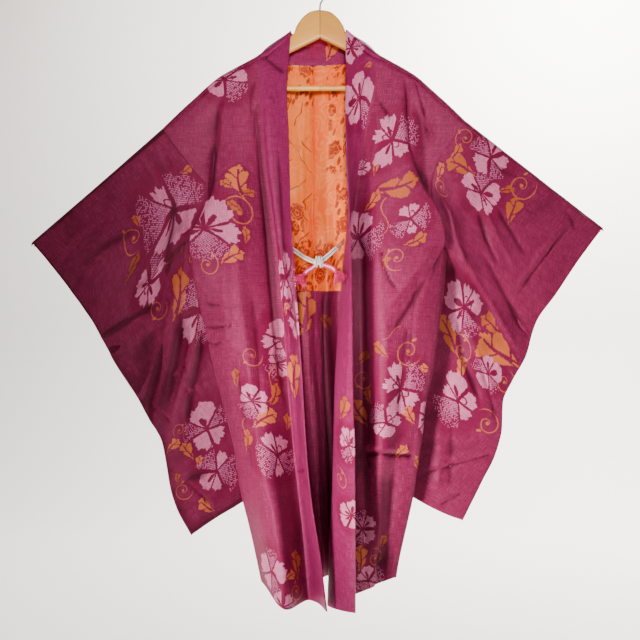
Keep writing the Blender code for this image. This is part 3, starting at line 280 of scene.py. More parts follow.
# ------------------------------------------------------------------ creases
# height, width, then x and drop of each point along the crease, as seen from the front:
# a height below nought is a trough
CREASES = {
    "front_right": (
        (-3.4, 8, -189, 300, -196, 366, -206, 410), (2.0, 7, -172, 226, -178, 300, -188, 360),
        (-2.4, 2.4, -214, 627, -180, 629, -140, 620), (1.6, 4, -204, 617, -176, 621, -148, 624),
        (-1.5, 2.4, -206, 588, -180, 591, -140, 586),
        (-1.5, 2.4, -206, 656, -190, 660, -176, 655),
        (-3.2, 8, -114, 236, -110, 300, -101, 400, -90, 520, -82, 620, -66, 760),
        (2.2, 12, -152, 300, -150, 420, -148, 540, -140, 640),
        (2.2, 12, -170, 470, -172, 560, -166, 660), (-2.2, 10, -124, 560, -110, 680, -104, 800),
        (2.0, 8, -138, 600, -128, 700, -116, 800, -108, 860),
        (1.6, 10, -168, 700, -150, 820, -128, 940), (-1.2, 7, -150, 700, -136, 800, -118, 900),
        (1.0, 10, -84, 900, -74, 1000, -62, 1090), (-1.2, 6, -118, 182, -124, 214, -122, 250),
        (-1.4, 7, -96, 930, -86, 1020, -80, 1100), (-0.8, 3, -100, 190, -116, 236, -118, 290)),
    "front_left": (
        (-4.0, 6, 154, 186, 158, 238, 163, 292, 178, 345, 198, 386),
        (1.8, 4, 168, 184, 182, 240, 206, 296), (-1.8, 2.6, 172, 184, 186, 240, 196, 292),
        (1.2, 3.6, 180, 190, 204, 250, 222, 306), (-1.6, 2.6, 184, 196, 206, 262, 220, 300),
        (-1.0, 2.6, 219, 262, 226, 300), (-1.6, 3.6, 106, 220, 118, 238, 127, 256),
        (1.2, 8, 98, 200, 104, 280, 92, 330), (2.6, 12, 208, 476, 170, 530, 136, 576, 112, 604),
        (-1.8, 9, 216, 500, 180, 560, 150, 610, 128, 640),
        (-2.6, 3.0, 108, 476, 114, 516, 126, 544, 142, 566),
        (-1.2, 2.6, 118, 590, 130, 584, 150, 582),
        (-4.2, 3.2, 70, 857, 110, 857, 150, 860, 172, 862),
        (2.0, 6, 70, 845, 120, 846, 170, 850), (-2.0, 2.8, 77, 858, 84, 868, 92, 879),
        (1.6, 12, 118, 610, 120, 700, 118, 790), (-1.4, 9, 158, 620, 148, 700, 140, 790),
        (1.2, 10, 110, 880, 110, 960, 102, 1060), (-1.4, 8, 134, 880, 126, 980, 116, 1070),
        (-0.8, 2.6, 176, 480, 166, 640, 150, 800),
        (-3.4, 11, 74, 480, 76, 600, 75, 740, 73, 850), (3.6, 22, 70, 880, 72, 970, 70, 1080),
        (-3.0, 22, 120, 880, 114, 980, 106, 1080)),
    "sleeve_right": (
        (-4.0, 9, -236, 410, -240, 470, -248, 545), (2.4, 9, -262, 400, -268, 470, -276, 540),
        (-2.6, 3.6, -286, 306, -272, 332, -262, 356),
        (-2.2, 3.0, -262, 290, -236, 330, -208, 372),
        (2.0, 4.0, -250, 284, -226, 322, -200, 360),
        (-1.6, 3.0, -240, 280, -220, 312, -198, 346), (-1.4, 5, -318, 316, -296, 352, -284, 384),
        (2.8, 9, -392, 648, -350, 620, -300, 590), (-2.2, 10, -384, 676, -340, 650, -300, 622),
        (-6.4, 15, -258, 550, -280, 640, -292, 700, -308, 764, -306, 815),
        (-3.4, 4.5, -229, 620, -236, 665, -246, 710, -262, 764, -270, 806),
        (2.6, 8, -250, 620, -262, 690, -278, 760),
        (2.4, 8, -214, 640, -220, 690, -236, 764, -240, 800),
        (-2.0, 2.6, -270, 718, -254, 708, -240, 699),
        (-2.4, 2.6, -250, 750, -222, 737, -195, 721),
        (-2.0, 2.4, -215, 716, -206, 706, -198, 695), (-1.6, 3, -306, 776, -284, 780, -268, 800),
        (1.4, 12, -430, 520, -380, 480, -330, 452), (-1.6, 9, -470, 520, -430, 470, -360, 420),
        (-1.2, 5, -240, 905, -214, 930, -196, 952), (1.2, 6, -268, 930, -236, 900, -200, 892),
        (-1.0, 5, -352, 690, -338, 700, -330, 716)),
    "sleeve_left": (
        (-1.8, 2.6, 445, 448, 409, 497, 382, 532, 358, 567),
        (1.4, 5, 438, 444, 402, 492, 350, 560), (-1.4, 2.4, 443, 419, 452, 436, 459, 454),
        (-1.8, 3.2, 191, 891, 250, 874, 315, 855), (1.4, 6, 196, 880, 252, 864, 312, 846),
        (-1.7, 3.2, 212, 950, 240, 935, 272, 916), (1.3, 6, 206, 940, 238, 926, 268, 908),
        (3.4, 8, 215, 392, 232, 424, 244, 470, 262, 520),
        (3.4, 8, 268, 520, 300, 572, 330, 626, 352, 664),
        (-3.2, 12, 296, 500, 326, 556, 356, 614, 376, 648),
        (-2.4, 6, 284, 420, 300, 470, 322, 520), (1.6, 7, 300, 420, 322, 470, 350, 520),
        (-1.6, 6, 322, 420, 346, 460, 370, 500), (-2.2, 8, 244, 610, 258, 690, 292, 770),
        (2.0, 8, 262, 620, 290, 690, 312, 740), (-1.6, 7, 292, 700, 308, 760, 318, 800),
        (1.8, 10, 214, 800, 216, 860, 214, 920), (-1.0, 6, 236, 800, 236, 860, 232, 920),
        (-0.8, 5, 300, 330, 340, 352, 380, 368), (-0.9, 3, 262, 258, 280, 290, 286, 330)),
    "collar_right": (
        (1.6, 4, -98, 240, -91, 330, -79, 420, -63, 549, -47, 761, -36, 882),
        (-2.0, 3.0, -106, 140, -84, 156, -63, 172), (1.2, 5, -92, 176, -80, 190, -72, 214),
        (-1.2, 5, -78, 300, -70, 420, -62, 520), (-0.8, 2.6, -92, 210, -80, 226),
        (-1.0, 1.8, -52, 880, -38, 888, -26, 886)),
    "collar_left": (
        (-1.4, 5, 74, 150, 70, 220, 62, 300), (1.1, 6, 58, 560, 50, 700, 46, 840),
        (-1.0, 2.6, 26, 900, 50, 906), (-0.8, 2.6, 30, 972, 56, 968),
        (-0.8, 2.2, 34, 1010, 58, 1014)),
    "back_right": (
        (-4.6, 3.4, -13, 130, -13, 300, -13, 440, -11, 520), (1.0, 14, -60, 260, -70, 420),
        (-1.2, 12, -120, 300, -112, 460), (-1.0, 3, -64, 152, -40, 168, -24, 176),
        (1.2, 4, -28, 200, -32, 330, -30, 460), (2.0, 5, -30, 560, -24, 760, -8, 980, 0, 1080),
        (-1.4, 3, -18, 580, -14, 760, 4, 980, 10, 1080),
        (-1.4, 10, -150, 560, -124, 760, -90, 980), (1.4, 9, -120, 600, -96, 800, -70, 1000),
        (-1.0, 4, -66, 470, -40, 476, -20, 470),
        (4.4, 8, -36, 560, -28, 700, -18, 840, -10, 980, -2, 1080)),
    "back_left": (
        (-4.6, 3.4, -13, 130, -13, 300, -13, 440, -11, 520), (1.0, 14, 60, 260, 50, 420),
        (-1.2, 12, 120, 300, 108, 460), (-0.9, 3, 0, 152, 20, 170, 34, 174),
        (1.0, 5, 16, 210, 12, 330, 14, 470), (-1.0, 4, 28, 240, 26, 360, 22, 500),
        (-1.4, 10, 140, 600, 120, 800, 96, 1000), (1.4, 9, 104, 560, 92, 760, 80, 980),
        (-6.0, 7, 8, 575, 12, 660, 15, 760, 20, 860, 25, 980, 28, 1070)),
    "lining_right": (
        (0.8, 2.5, -64, 300, -30, 312, -16, 308), (0.8, 3, -50, 404, -20, 410)),
    "lining_left": (
        (0.8, 2.5, 2, 380, 24, 388, 40, 384), (0.7, 3, 0, 260, 30, 270),
        (0.7, 2.5, -4, 430, 26, 424)),
}
# how far the cloth wanders of itself, mm
RIPPLE = {"front": 0.55, "back": 0.9, "sleeve": 0.9, "collar": 0.35, "gusset": 0.3,
          "lining": 0.5}

# ------------------------------------------------------------------ pattern
# (x, drop, size, turn) of each kind: the middle as seen from the front, half the width in
# mm and how far it is turned in degrees
PATTERN = {
    "front_right": {
        "flower": ((-207, 450, 54, 250), (-67, 652, 43, 40), (-78, 694, 26, 300),
            (-121, 762, 30, 110), (-77, 860, 41, 200), (-88, 1068, 42, 20), (-66, 1130, 30, 130),
            (-172, 184, 36, 80)),
        "leaf": ((-144, 366, 30, 88), (-166, 373, 14, 130), (-130, 387, 13, 20),
            (-153, 410, 15, 145), (-135, 463, 14, 80), (-157, 504, 22, 20), (-82, 750, 22, 60),
            (-97, 796, 26, 30), (-149, 718, 16, 110), (-60, 800, 14, 80), (-43, 1051, 24, 85),
            (-52, 1076, 14, 30), (-130, 830, 20, 85)),
        "spiral": ((-144, 423, 32, 150), (-203, 518, 24, 20), (-122, 677, 22, 200),
            (-45, 1102, 20, 60)),
        "vine": ((-88, 730, 34, 70), (-134, 815, 26, 90)),
    },
    "front_left": {
        "flower": ((128, 293, 43, 100), (164, 432, 34, 80), (69, 466, 46, 60), (77, 345, 15, 10),
            (146, 738, 46, 95), (119, 800, 35, 280), (88, 1084, 30, 90), (76, 990, 30, 30)),
        "leaf": ((139, 369, 38, 25), (95, 400, 20, 40), (176, 471, 20, 20), (117, 511, 12, 90),
            (108, 668, 18, 150), (80, 684, 16, 60), (74, 780, 27, 110), (88, 750, 16, 130),
            (189, 702, 12, 170), (162, 785, 18, 100), (148, 852, 15, 40), (72, 1044, 22, 80),
            (112, 1012, 12, 50), (102, 342, 13, 70)),
        "spiral": ((135, 504, 24, 90), (81, 720, 22, 200), (158, 673, 28, 20),
            (99, 1044, 20, 300)),
        "vine": ((116, 430, 34, 85), (128, 640, 20, 20)),
    },
    "collar_right": {
        "flower": ((-61, 540, 44, 70), (-44, 618, 34, 200)),
        "leaf": ((-43, 714, 40, 82), (-60, 596, 12, 80)),
    },
    "collar_left": {
        "flower": ((70, 218, 47, 95), (56, 126, 32, 30), (51, 842, 28, 180), (57, 966, 26, 10)),
        "leaf": ((88, 156, 9, 30), (44, 772, 24, 75), (22, 130, 20, 60)),
        "spiral": ((38, 900, 20, 30),),
    },
    "sleeve_right": {
        "flower": ((-263, 418, 60, 100), (-306, 548, 37, 80), (-218, 598, 47, 130),
            (-203, 812, 43, 95), (-187, 887, 41, 200)),
        "leaf": ((-257, 566, 38, 62), (-331, 436, 12, 120), (-338, 520, 20, 70),
            (-240, 346, 12, 20), (-240, 850, 19, 100), (-262, 842, 16, 30), (-258, 900, 10, 80),
            (-206, 948, 18, 150), (-216, 870, 12, 60)),
        "spiral": ((-333, 468, 26, 100), (-292, 594, 22, 200), (-247, 922, 20, 40),
            (-252, 814, 14, 0)),
        "vine": ((-262, 498, 28, 150), (-226, 512, 26, 110)),
    },
    "sleeve_left": {
        "flower": ((308, 324, 40, 60), (288, 387, 38, 220), (259, 592, 42, 20),
            (302, 711, 32, 300), (250, 760, 45, 100)),
        "leaf": ((252, 340, 28, 160), (216, 346, 14, 60), (245, 313, 16, 50), (344, 416, 24, 75),
            (338, 381, 14, 20), (317, 670, 46, 140), (306, 626, 24, 160), (229, 643, 33, 140),
            (256, 700, 20, 110)),
        "spiral": ((219, 376, 16, 90), (364, 374, 29, 30), (300, 802, 28, 200),
            (254, 672, 26, 30), (330, 728, 24, 300), (262, 290, 20, 100)),
    },
    "back_right": {
        "flower": ((-120, 330, 48, 40), (-66, 410, 36, 150), (-130, 640, 46, 80),
            (-70, 720, 38, 200), (-50, 960, 44, 30), (-86, 1040, 30, 100)),
        "leaf": ((-170, 380, 28, 40), (-90, 480, 24, 80), (-26, 600, 38, 75),
            (-160, 720, 20, 120), (-96, 800, 22, 50), (-20, 1040, 20, 30)),
        "spiral": ((-70, 300, 24, 0), (-160, 470, 26, 90), (-90, 590, 22, 30),
            (-74, 880, 26, 200)),
        "vine": ((-90, 360, 34, 60), (-100, 560, 34, 100)),
    },
    "back_left": {
        "flower": ((90, 360, 46, 60), (150, 440, 36, 10), (66, 690, 46, 140), (136, 760, 38, 80),
            (100, 1000, 44, 200), (60, 1060, 28, 0)),
        "leaf": ((60, 450, 26, 60), (150, 340, 22, 30), (6, 620, 16, 110), (120, 640, 24, 80),
            (110, 850, 20, 120), (60, 940, 22, 40)),
        "spiral": ((130, 290, 24, 20), (110, 520, 26, 60), (70, 790, 22, 0), (150, 900, 24, 90)),
        "vine": ((90, 420, 34, 60), (90, 580, 34, 100)),
    },
    "gusset_left": {
        "flower": ((186, 790, 28, 200),),
        "leaf": ((180, 740, 15, 70), (172, 870, 14, 100)),
    },
    "gusset_right": {
        "leaf": ((-180, 700, 15, 70),),
        "flower": ((-150, 860, 24, 20),),
    },
}
# half the square that a motif is drawn in, and how much larger it is drawn, against its size
REACH = {"flower": 1.5, "leaf": 1.15, "spiral": 1.15, "vine": 1.15}
LARGER = {"flower": 1.06, "leaf": 1.05, "spiral": 1.0, "vine": 1.0}
LUCKS = 64                  # how many different motifs of one kind there can be
NO_MOTIF = 9.0              # a place outside the square of any motif
CREASE_HEIGHT = 1.9         # how much higher all creases stand than their table says
CREASE_TOP = 0.05           # how round a crease is along its middle
# waves of the cloth of itself: how many, and their shortest and longest length in mm
BROAD_WAVES, FINE_WAVES = (9, 45, 150), (6, 12, 30)
FOLD_SMOOTHINGS = 30        # passes that smooth the cloth that each point's depth is measured from, for the painted shade in creases


# ------------------------------------------------------------------ curves
def smooth(rows, where):
    """Values of the columns after the first, at the given first column, with no overshoot."""
    table = np.array(rows, dtype=float)
    at, values = table[:, 0], table[:, 1:]
    steps = np.diff(at)[:, None]
    slopes = np.diff(values, axis=0) / steps
    ends = np.vstack([slopes[:1], slopes[-1:]])
    if len(at) > 2:
        before, after = slopes[:-1], slopes[1:]
        weight_a = 2 * steps[1:] + steps[:-1]
        weight_b = steps[1:] + 2 * steps[:-1]
        with np.errstate(divide="ignore", invalid="ignore"):
            inner = (weight_a + weight_b) / (weight_a / before + weight_b / after)
        inner[~(before * after > 0)] = 0.0
    else:
        inner = np.zeros((0, values.shape[1]))
    tangents = np.vstack([ends[:1], inner, ends[1:]])
    where = np.clip(np.atleast_1d(np.asarray(where, dtype=float)), at[0], at[-1])
    k = np.clip(np.searchsorted(at, where, side="right") - 1, 0, len(at) - 2)
    return hermite(values[k], values[k + 1], tangents[k] * steps[k],
                   tangents[k + 1] * steps[k], (where - at[k]) / steps[k, 0])


def hermite(start, end, start_slope, end_slope, t):
    """Cubic from start to end."""
    t = np.asarray(t, dtype=float)
    t = t.reshape(t.shape + (1,) * (np.ndim(start) - t.ndim))
    return ((2 * t ** 3 - 3 * t ** 2 + 1) * start + (t ** 3 - 2 * t ** 2 + t) * start_slope
            + (3 * t ** 2 - 2 * t ** 3) * end + (t ** 3 - t ** 2) * end_slope)


def across(points, steps):
    """Smooth curve through lines of points, with its unit direction at both ends."""
    points = np.asarray(points, dtype=float)
    knots = np.cumsum([0.0] + [np.mean(np.linalg.norm(b - a, axis=-1))
                               for a, b in zip(points[:-1], points[1:])])
    last = len(points) - 1
    slopes = [(points[min(k + 1, last)] - points[max(k - 1, 0)])
              / (knots[min(k + 1, last)] - knots[max(k - 1, 0)]) for k in range(last + 1)]
    cells = []
    for k in range(1, last):
        width = knots[k + 1] - knots[k]
        for i in range(steps[k - 1]):
            t = np.full(len(points[k]), i / steps[k - 1])
            cells.append(hermite(points[k], points[k + 1], slopes[k] * width,
                                 slopes[k + 1] * width, t))
    cells.append(points[-1])
    return np.array(cells), squared(slopes[1], points[1]), squared(slopes[-1], points[-1])


def squared(ways, line):
    """Unit directions off a line, made square to it."""
    ahead = unit(np.gradient(line, axis=0))
    return unit(ways - ahead * np.sum(ways * ahead, axis=-1, keepdims=True))


def unit(vectors):
    """Vectors of length one."""
    return vectors / np.maximum(np.linalg.norm(vectors, axis=-1, keepdims=True), 1e-9)


def by_length(rows, places):
    """Points on a smooth curve through rows: a number of even ones, or at parts of its length."""
    table = np.array(rows, dtype=float)
    lengths = np.concatenate([[0.0], np.cumsum(np.linalg.norm(np.diff(table, axis=0), axis=1))])
    parts = np.linspace(0.0, 1.0, places) if np.isscalar(places) else places
    return smooth(np.column_stack([lengths / lengths[-1], table]), parts)


def length_of(points):
    """Length of a line of points."""
    return np.linalg.norm(np.diff(points, axis=0), axis=1).sum()


# ------------------------------------------------------------------ panels
def line_points(rows, sign, rolled=True):
    """A line's points from the shoulder to the hem, first round the roll over the hanger."""
    top, bottom = rows[0][0], rows[-1][0]
    angles = np.radians(ROLL_STEPS)
    drops = top + ROLL * (1 - np.cos(angles[:-1]))
    reach = np.sin(angles[:-1])
    upper = np.linspace(top + ROLL, LEVEL, UPPER_ROWS + 1)
    lower = np.linspace(LEVEL, bottom, LOWER_ROWS + 1)[1:]
    drops = np.concatenate([drops, upper, lower])
    reach = np.concatenate([reach, np.ones(len(upper) + len(lower))])
    places = smooth(rows, drops)
    depth = places[:, 1]
    if rolled:
        depth = np.where(reach < 1.0, sign * ROLL * reach, depth)
    return np.column_stack([drops, places[:, 0], depth])


def on_shoulder(columns, side):
    """Puts the tops of columns on the shoulder line and on the roll, easing out below."""
    for column in columns:
        wanted = smooth(SHOULDER[side], abs(column[0][1]))[0][0]
        fade = np.clip(1 - (column[:, 0] - column[0][0]) / SHOULDER_EASE, 0.0, 1.0)
        column[:, 0] += (wanted - column[0][0]) * fade
        column[:len(ROLL_STEPS), 2] = columns[-1][:len(ROLL_STEPS), 2]


def front_panel(side):
    """Front: grid (across x down), and its way across at the collar seam and outer edge."""
    lines = FRONT[side]
    names = [name for name in ("edge", "seam", "valley", "crest", "turn", "tuck", "outer")
             if name in lines]
    steps = {"valley": 2, "crest": 3 if side == "left" else 4, "turn": 4, "tuck": 2, "outer": 3}
    points = [line_points(lines[name], -1) for name in names]
    grid, at_seam, at_outer = across(points, [steps[name] * FINE for name in names[2:]])
    on_shoulder(grid, side)
    return grid, at_seam, at_outer


def back_panel(side):
    """Back: grid (across x down) from the centre seam, and its way across at both edges."""
    lines = BACK[side]
    names = ("centre", "nape", "neck", "blade", "wing", "outer")
    points = [line_points(lines[name], 1, name not in NECK_LINES) for name in names]
    mirror = points[0] - np.array([0.0, SIDES[side] * MIRROR_REACH, 0.0])
    grid, _, at_outer = across([mirror] + points, (3 * FINE,) * 5)
    on_shoulder(grid[NECK_COLUMNS:], side)
    neckline = by_length([row[1:] for row in NECKLINE[side]], NECK_COLUMNS + 1)
    for column, place in zip(grid[:NECK_COLUMNS], neckline):
        for j, angle in enumerate(ROLL_STEPS[:-1]):
            column[j] = place + (column[LAST_ROLL] - place) * (1 - math.cos(math.radians(angle)))
    square = np.zeros_like(at_outer)
    square[:, 1] = SIDES[side]
    grid[0, :, 1] += SIDES[side] * SEAM_GAP / 2
    return grid, square, at_outer


def collar_grid(edge, seam, leave, arrive):
    """Grid of smooth curves from the collar's free edge to its seam."""
    return np.array([hermite(edge, seam, leave, arrive, np.full(len(edge), i / COLLAR_STEPS))
                     for i in range(COLLAR_STEPS + 1)])


def front_collar(side, front, at_seam):
    """Collar down the front: grid (free edge to seam x down)."""
    rows = line_points(FRONT[side]["edge"], -1)
    seam = front[0] - at_seam * COLLAR_GAP
    span = np.linalg.norm(seam - rows, axis=1, keepdims=True)
    leave = unit((seam - rows) / span * 1.6 - at_seam * 0.6)
    return collar_grid(rows, seam, leave * span, at_seam * span * COLLAR_SWELL)


def neck_collar(side, back, normals):
    """Collar behind the neck: grid (free edge to seam x round), and its way across the seam."""
    line = back[NECK_COLUMNS::-1, 0]
    lengths = np.concatenate([[0], np.cumsum(np.linalg.norm(np.diff(line, axis=0), axis=1))])
    edge = smooth(NECK_EDGE[side], lengths / lengths[-1])
    edge[0][2] = 0.0
    ahead = unit(np.gradient(line, axis=0))
    facing = normals[NECK_COLUMNS::-1, 0][:, [2, 0, 1]] * np.array([-1.0, 1.0, 1.0])
    way = unit(np.cross(facing, ahead))
    way *= np.sign(np.sum(way * (line - edge), axis=1, keepdims=True))
    corner = np.maximum(1 - np.arange(len(line)) / (3 * FINE), 0.0)[:, None]
    seam = line - way * (NECK_GAP + CORNER_GAP * corner)
    span = np.linalg.norm(seam - edge, axis=1, keepdims=True)
    grid = collar_grid(edge, seam, seam - edge, way * span)
    grid[:, -1, 1] = back[0, 0, 1]
    return grid, way


def gusset(side, front, front_way, back, back_way):
    """Wedge between the outer edges of front and back, under the arm."""
    rows = np.flatnonzero(np.minimum(front[-1, :, 0], back[-1, :, 0])
                          > UNDERARM[side] + BELOW_UNDERARM)
    start = front[-1, rows] + front_way[rows] * SEAM_GAP
    end = back[-1, rows] + back_way[rows] * SEAM_GAP
    span = np.linalg.norm(end - start, axis=1, keepdims=True) * GUSSET_SWELL[side]
    grid = np.array([hermite(start, end, front_way[rows] * span, -back_way[rows] * span,
                             np.full(len(rows), i / GUSSET_STEPS))
                     for i in range(GUSSET_STEPS + 1)])
    return grid, (front_way[rows], -back_way[rows])


def seam_rows(panel, way, side):
    """Where the sleeve is sewn: a panel's outer edge from the shoulder to the underarm."""
    rows = np.flatnonzero(panel[-1, :, 0] < UNDERARM[side] - ABOVE_UNDERARM)
    return panel[-1, rows] + way[rows] * ARMHOLE_GAP, way[rows]


# ------------------------------------------------------------------ sleeves
def patch(inner, outer, top, bottom, down):
    """Surface from four edges, from inner to outer and from top to bottom."""
    u = np.linspace(0, 1, len(top))[:, None, None]
    v = down[None, :, None]
    near = (1 - u) ** np.array([1.0, 1.0, 2.0])
    inner_off = inner[None] - ((1 - v) * inner[0] + v * inner[-1])
    outer_off = outer[None] - ((1 - v) * outer[0] + v * outer[-1])
    return (1 - v) * top[:, None] + v * bottom[:, None] + near * inner_off + u * outer_off


def sleeve_walls(side, seams):
    """Front and back halves of the sleeve (armhole to cuff x down from the top fold)."""
    edges = SLEEVE[side]
    inners = []
    for (seam, _), free in zip(seams, (edges["open_front"], edges["open_back"])):
        below = by_length([seam[-1]] + [np.array(p, dtype=float) for p in free[1:]],
                          np.linspace(0.0, 1.0, FREE_ROWS + 1) ** FREE_PACKING)
        inners.append(np.concatenate([seam[LAST_ROLL:], below[1:]]))
    steps = np.mean([np.linalg.norm(np.diff(inner, axis=0), axis=1) for inner in inners], axis=0)
    down = np.concatenate([[0.0], np.cumsum(steps)]) / steps.sum()
    part = np.linspace(0, 1, SLEEVE_STEPS + 1)
    top = by_length(edges["top"], SLEEVE_STEPS + 1)
    cuff = by_length(edges["cuff"], down)
    bottom = by_length(edges["bottom"], SLEEVE_STEPS + 1)[::-1]
    wrist = np.clip((WRIST_LENGTH - down * length_of(cuff)) / WRIST_EASE, 0.0, 1.0)
    cuff_half = (SEWN_GAP + (WRIST_GAP - SEWN_GAP) * wrist) / 2
    radius = ROLL + (WRIST_GAP / 2 - ROLL) * np.minimum(part * WRIST_ROLL_PARTS, 1.0)
    halves = []
    for facing, (seam, _), inner in ((-1, seams[0], inners[0]), (1, seams[1], inners[1])):
        turns = np.radians(ROLL_STEPS)
        roll = (top[:, None] + radius[:, None, None]
                * np.stack([1 - np.cos(turns), 0 * turns, facing * np.sin(turns)], axis=-1)[None])
        fade = np.maximum(1 - part * SEAM_ROLL_PARTS, 0.0)[:, None, None]
        roll = roll + (seam[:LAST_ROLL + 1] - roll[0])[None] * fade
        roll[0, 0, 2] = 0.0
        outer = cuff + np.column_stack([0 * down, 0 * down, facing * cuff_half])
        outer[0] = roll[-1, -1]
        edge_half = facing * SEWN_GAP / 2 * np.ones(len(part))
        bottom_row = bottom + np.column_stack([-abs(edge_half), 0 * part, edge_half])
        bottom_row[-1] = outer[-1]
        bottom_row[0] = inner[-1]
        wall = patch(inner, outer, roll[:, -1], bottom_row, down)
        swell = np.sin(np.pi * part)[:, None] * np.sin(np.pi * down)[None, :]
        wall[..., 2] += facing * (BAG_GAP - WRIST_GAP) / 2 * swell
        halves.append(np.concatenate([roll[:, :-1], wall], axis=1))
    return halves


# ------------------------------------------------------------------ cloth
def world(points):
    """(drop, x, depth) in mm to (x, y, z) in metres."""
    points = np.asarray(points, dtype=float)
    return np.stack([points[..., 1], points[..., 2], -points[..., 0]], axis=-1) * MM


def seen(points):
    """(x, drop) of places in mm as they line up at the hanger's depth from the front."""
    near = 1 + points[..., 2] / EYE_BACK
    return np.stack([points[..., 1] / near,
                     EYE_DROP + (points[..., 0] - EYE_DROP) / near], axis=-1)


def run_along(points, axis):
    """How far each point of a grid lies along its line."""
    steps = np.linalg.norm(np.diff(points, axis=axis), axis=-1)
    return np.concatenate([np.zeros_like(np.take(steps, [0], axis)),
                           np.cumsum(steps, axis=axis)], axis=axis)


def flat_places(grid):
    """Place of every point of a grid on the flat cloth, in metres: across, down."""
    return np.stack([run_along(grid, 0), run_along(grid, 1)], axis=-1) * MM


def hanging_places(grid):
    """The same for a panel of the body, whose warp hangs straight down."""
    down = grid[..., 0].copy()
    down[:, :LAST_ROLL] = (down[:, LAST_ROLL:LAST_ROLL + 1]
                           - ROLL * np.radians(90.0 - np.array(ROLL_STEPS[:-1])))
    return np.stack([run_along(grid[..., 1:], 0), down], axis=-1) * MM


def panel_normals(grid, ways=(None, None), top=slice(0, 0)):
    """Unit normals of a panel, in metres' axes."""
    points = world(grid)
    along = np.gradient(points, axis=0)
    for column, way in zip((0, -1), ways):
        if way is not None:
            along[column] = world(way) * np.linalg.norm(along[column], axis=-1, keepdims=True) / MM
    normals = unit(np.cross(along, np.gradient(points, axis=1)))
    normals[top, 0, 1] = 0.0
    return unit(normals)


def fading(shape, edges):
    """1 but for a smooth fall to 0 over some cells at the first and last column and row."""
    fade = np.ones(shape)
    for axis, low, high in ((0, edges[0], edges[1]), (1, edges[2], edges[3])):
        places = np.arange(shape[axis], dtype=float)
        along = np.ones(shape[axis])
        for cells, from_edge in ((low, places), (high, shape[axis] - 1 - places)):
            if cells:
                along *= np.clip(from_edge / cells, 0, 1)
        along = along * along * (3 - 2 * along)
        fade *= along[:, None] if axis == 0 else along[None, :]
    return fade


def relief(grid, flat, creases, ripple, seed, edges=(8, 8, 0, 0), held=None):
    """How far the cloth stands towards the front at each point, in mm.

    edges says over how many cells it fades at the first and last column, first and last row;
    held says the same for the creases alone.
    """
    here = seen(grid)
    rise = np.zeros(grid.shape[:2])
    for count, (height, width, *line) in enumerate(creases):
        line = np.reshape(np.array(line, dtype=float), (-1, 2))
        spans = np.linalg.norm(np.diff(line, axis=0), axis=1)
        starts = np.concatenate([[0.0], np.cumsum(spans)]) / spans.sum()
        nearest = np.full(grid.shape[:2], 1e9)
        along = np.zeros(grid.shape[:2])
        for k, (a, b) in enumerate(zip(line[:-1], line[1:])):
            step = b - a
            t = np.clip(((here - a) @ step) / (step @ step), 0.0, 1.0)
            away = np.linalg.norm(here - (a + t[..., None] * step), axis=-1)
            closer = away < nearest
            nearest = np.where(closer, away, nearest)
            along = np.where(closer, starts[k] + t * (starts[k + 1] - starts[k]), along)
        ends = np.clip(np.minimum(along, 1 - along) * 5 + 0.25, 0.0, 1.0)
        uneven = 1 + 0.2 * np.sin(along * (6.0 + count % 4) + 1.7 * count)
        rise += (height * CREASE_HEIGHT * ends * uneven
                 * np.exp(-1.5 * (np.sqrt((nearest / width) ** 2 + CREASE_TOP) - 0.2236)))
    rise *= fading(rise.shape, held or edges)
    chance = np.random.default_rng(seed)
    waves = np.zeros(grid.shape[:2])

    def swell(wave, lean, phase):
        return np.sin(2 * math.pi / wave * (flat[..., 0] * math.cos(lean)
                                            + flat[..., 1] * math.sin(lean)) + phase)

    for _ in range(BROAD_WAVES[0]):
        wave, lean = chance.uniform(*BROAD_WAVES[1:]) * MM, chance.normal(0.0, 0.45)
        phase = chance.uniform(0, 2 * math.pi)
        slow = 1 + 0.6 * np.sin(flat[..., 1] / (chance.uniform(0.05, 0.12)) + phase * 2)
        waves += ripple / 3 * slow * swell(wave, lean, phase)
    for _ in range(FINE_WAVES[0]):
        wave, lean = chance.uniform(*FINE_WAVES[1:]) * MM, chance.uniform(0, math.pi)
        phase = chance.uniform(0, 2 * math.pi)
        patchy = np.sin(flat[..., 0] / 0.031 + phase) * np.sin(flat[..., 1] / 0.043 + 2 * phase)
        waves += ripple / 9 * patchy * swell(wave, lean, phase)
    return rise + waves * fading(rise.shape, edges)


def motifs_on(grid, flat, places, seed):
    """The pattern's motifs on a panel: each with its middle and axes on the flat cloth."""
    here = seen(grid)
    steps_u = np.gradient(here, axis=0)
    steps_v = np.gradient(here, axis=1)
    found = []
    chance = np.random.default_rng(seed)
    rows = [(kind, *row) for kind, rows in places.items() for row in rows]
    for kind, x, drop, size, turn in rows:
        away = np.linalg.norm(here - np.array([x, drop]), axis=-1)
        i, j = np.unravel_index(np.argmin(away), away.shape)
        down = unit(steps_v[i, j] * np.array([1, -1]))
        over = steps_u[i, j] * np.array([1, -1])
        side = np.array([-down[1], down[0]])
        side = side if side @ over > 0 else -side
        turned = math.radians(turn)
        spin = np.array([[math.cos(turned), math.sin(turned)],
                         [-math.sin(turned), math.cos(turned)]])
        axes = spin @ np.column_stack([side, down]) / (size * LARGER[kind] * MM)
        found.append((kind, flat[i, j], axes, (chance.integers(0, LUCKS) + 0.5) / LUCKS))
    return found


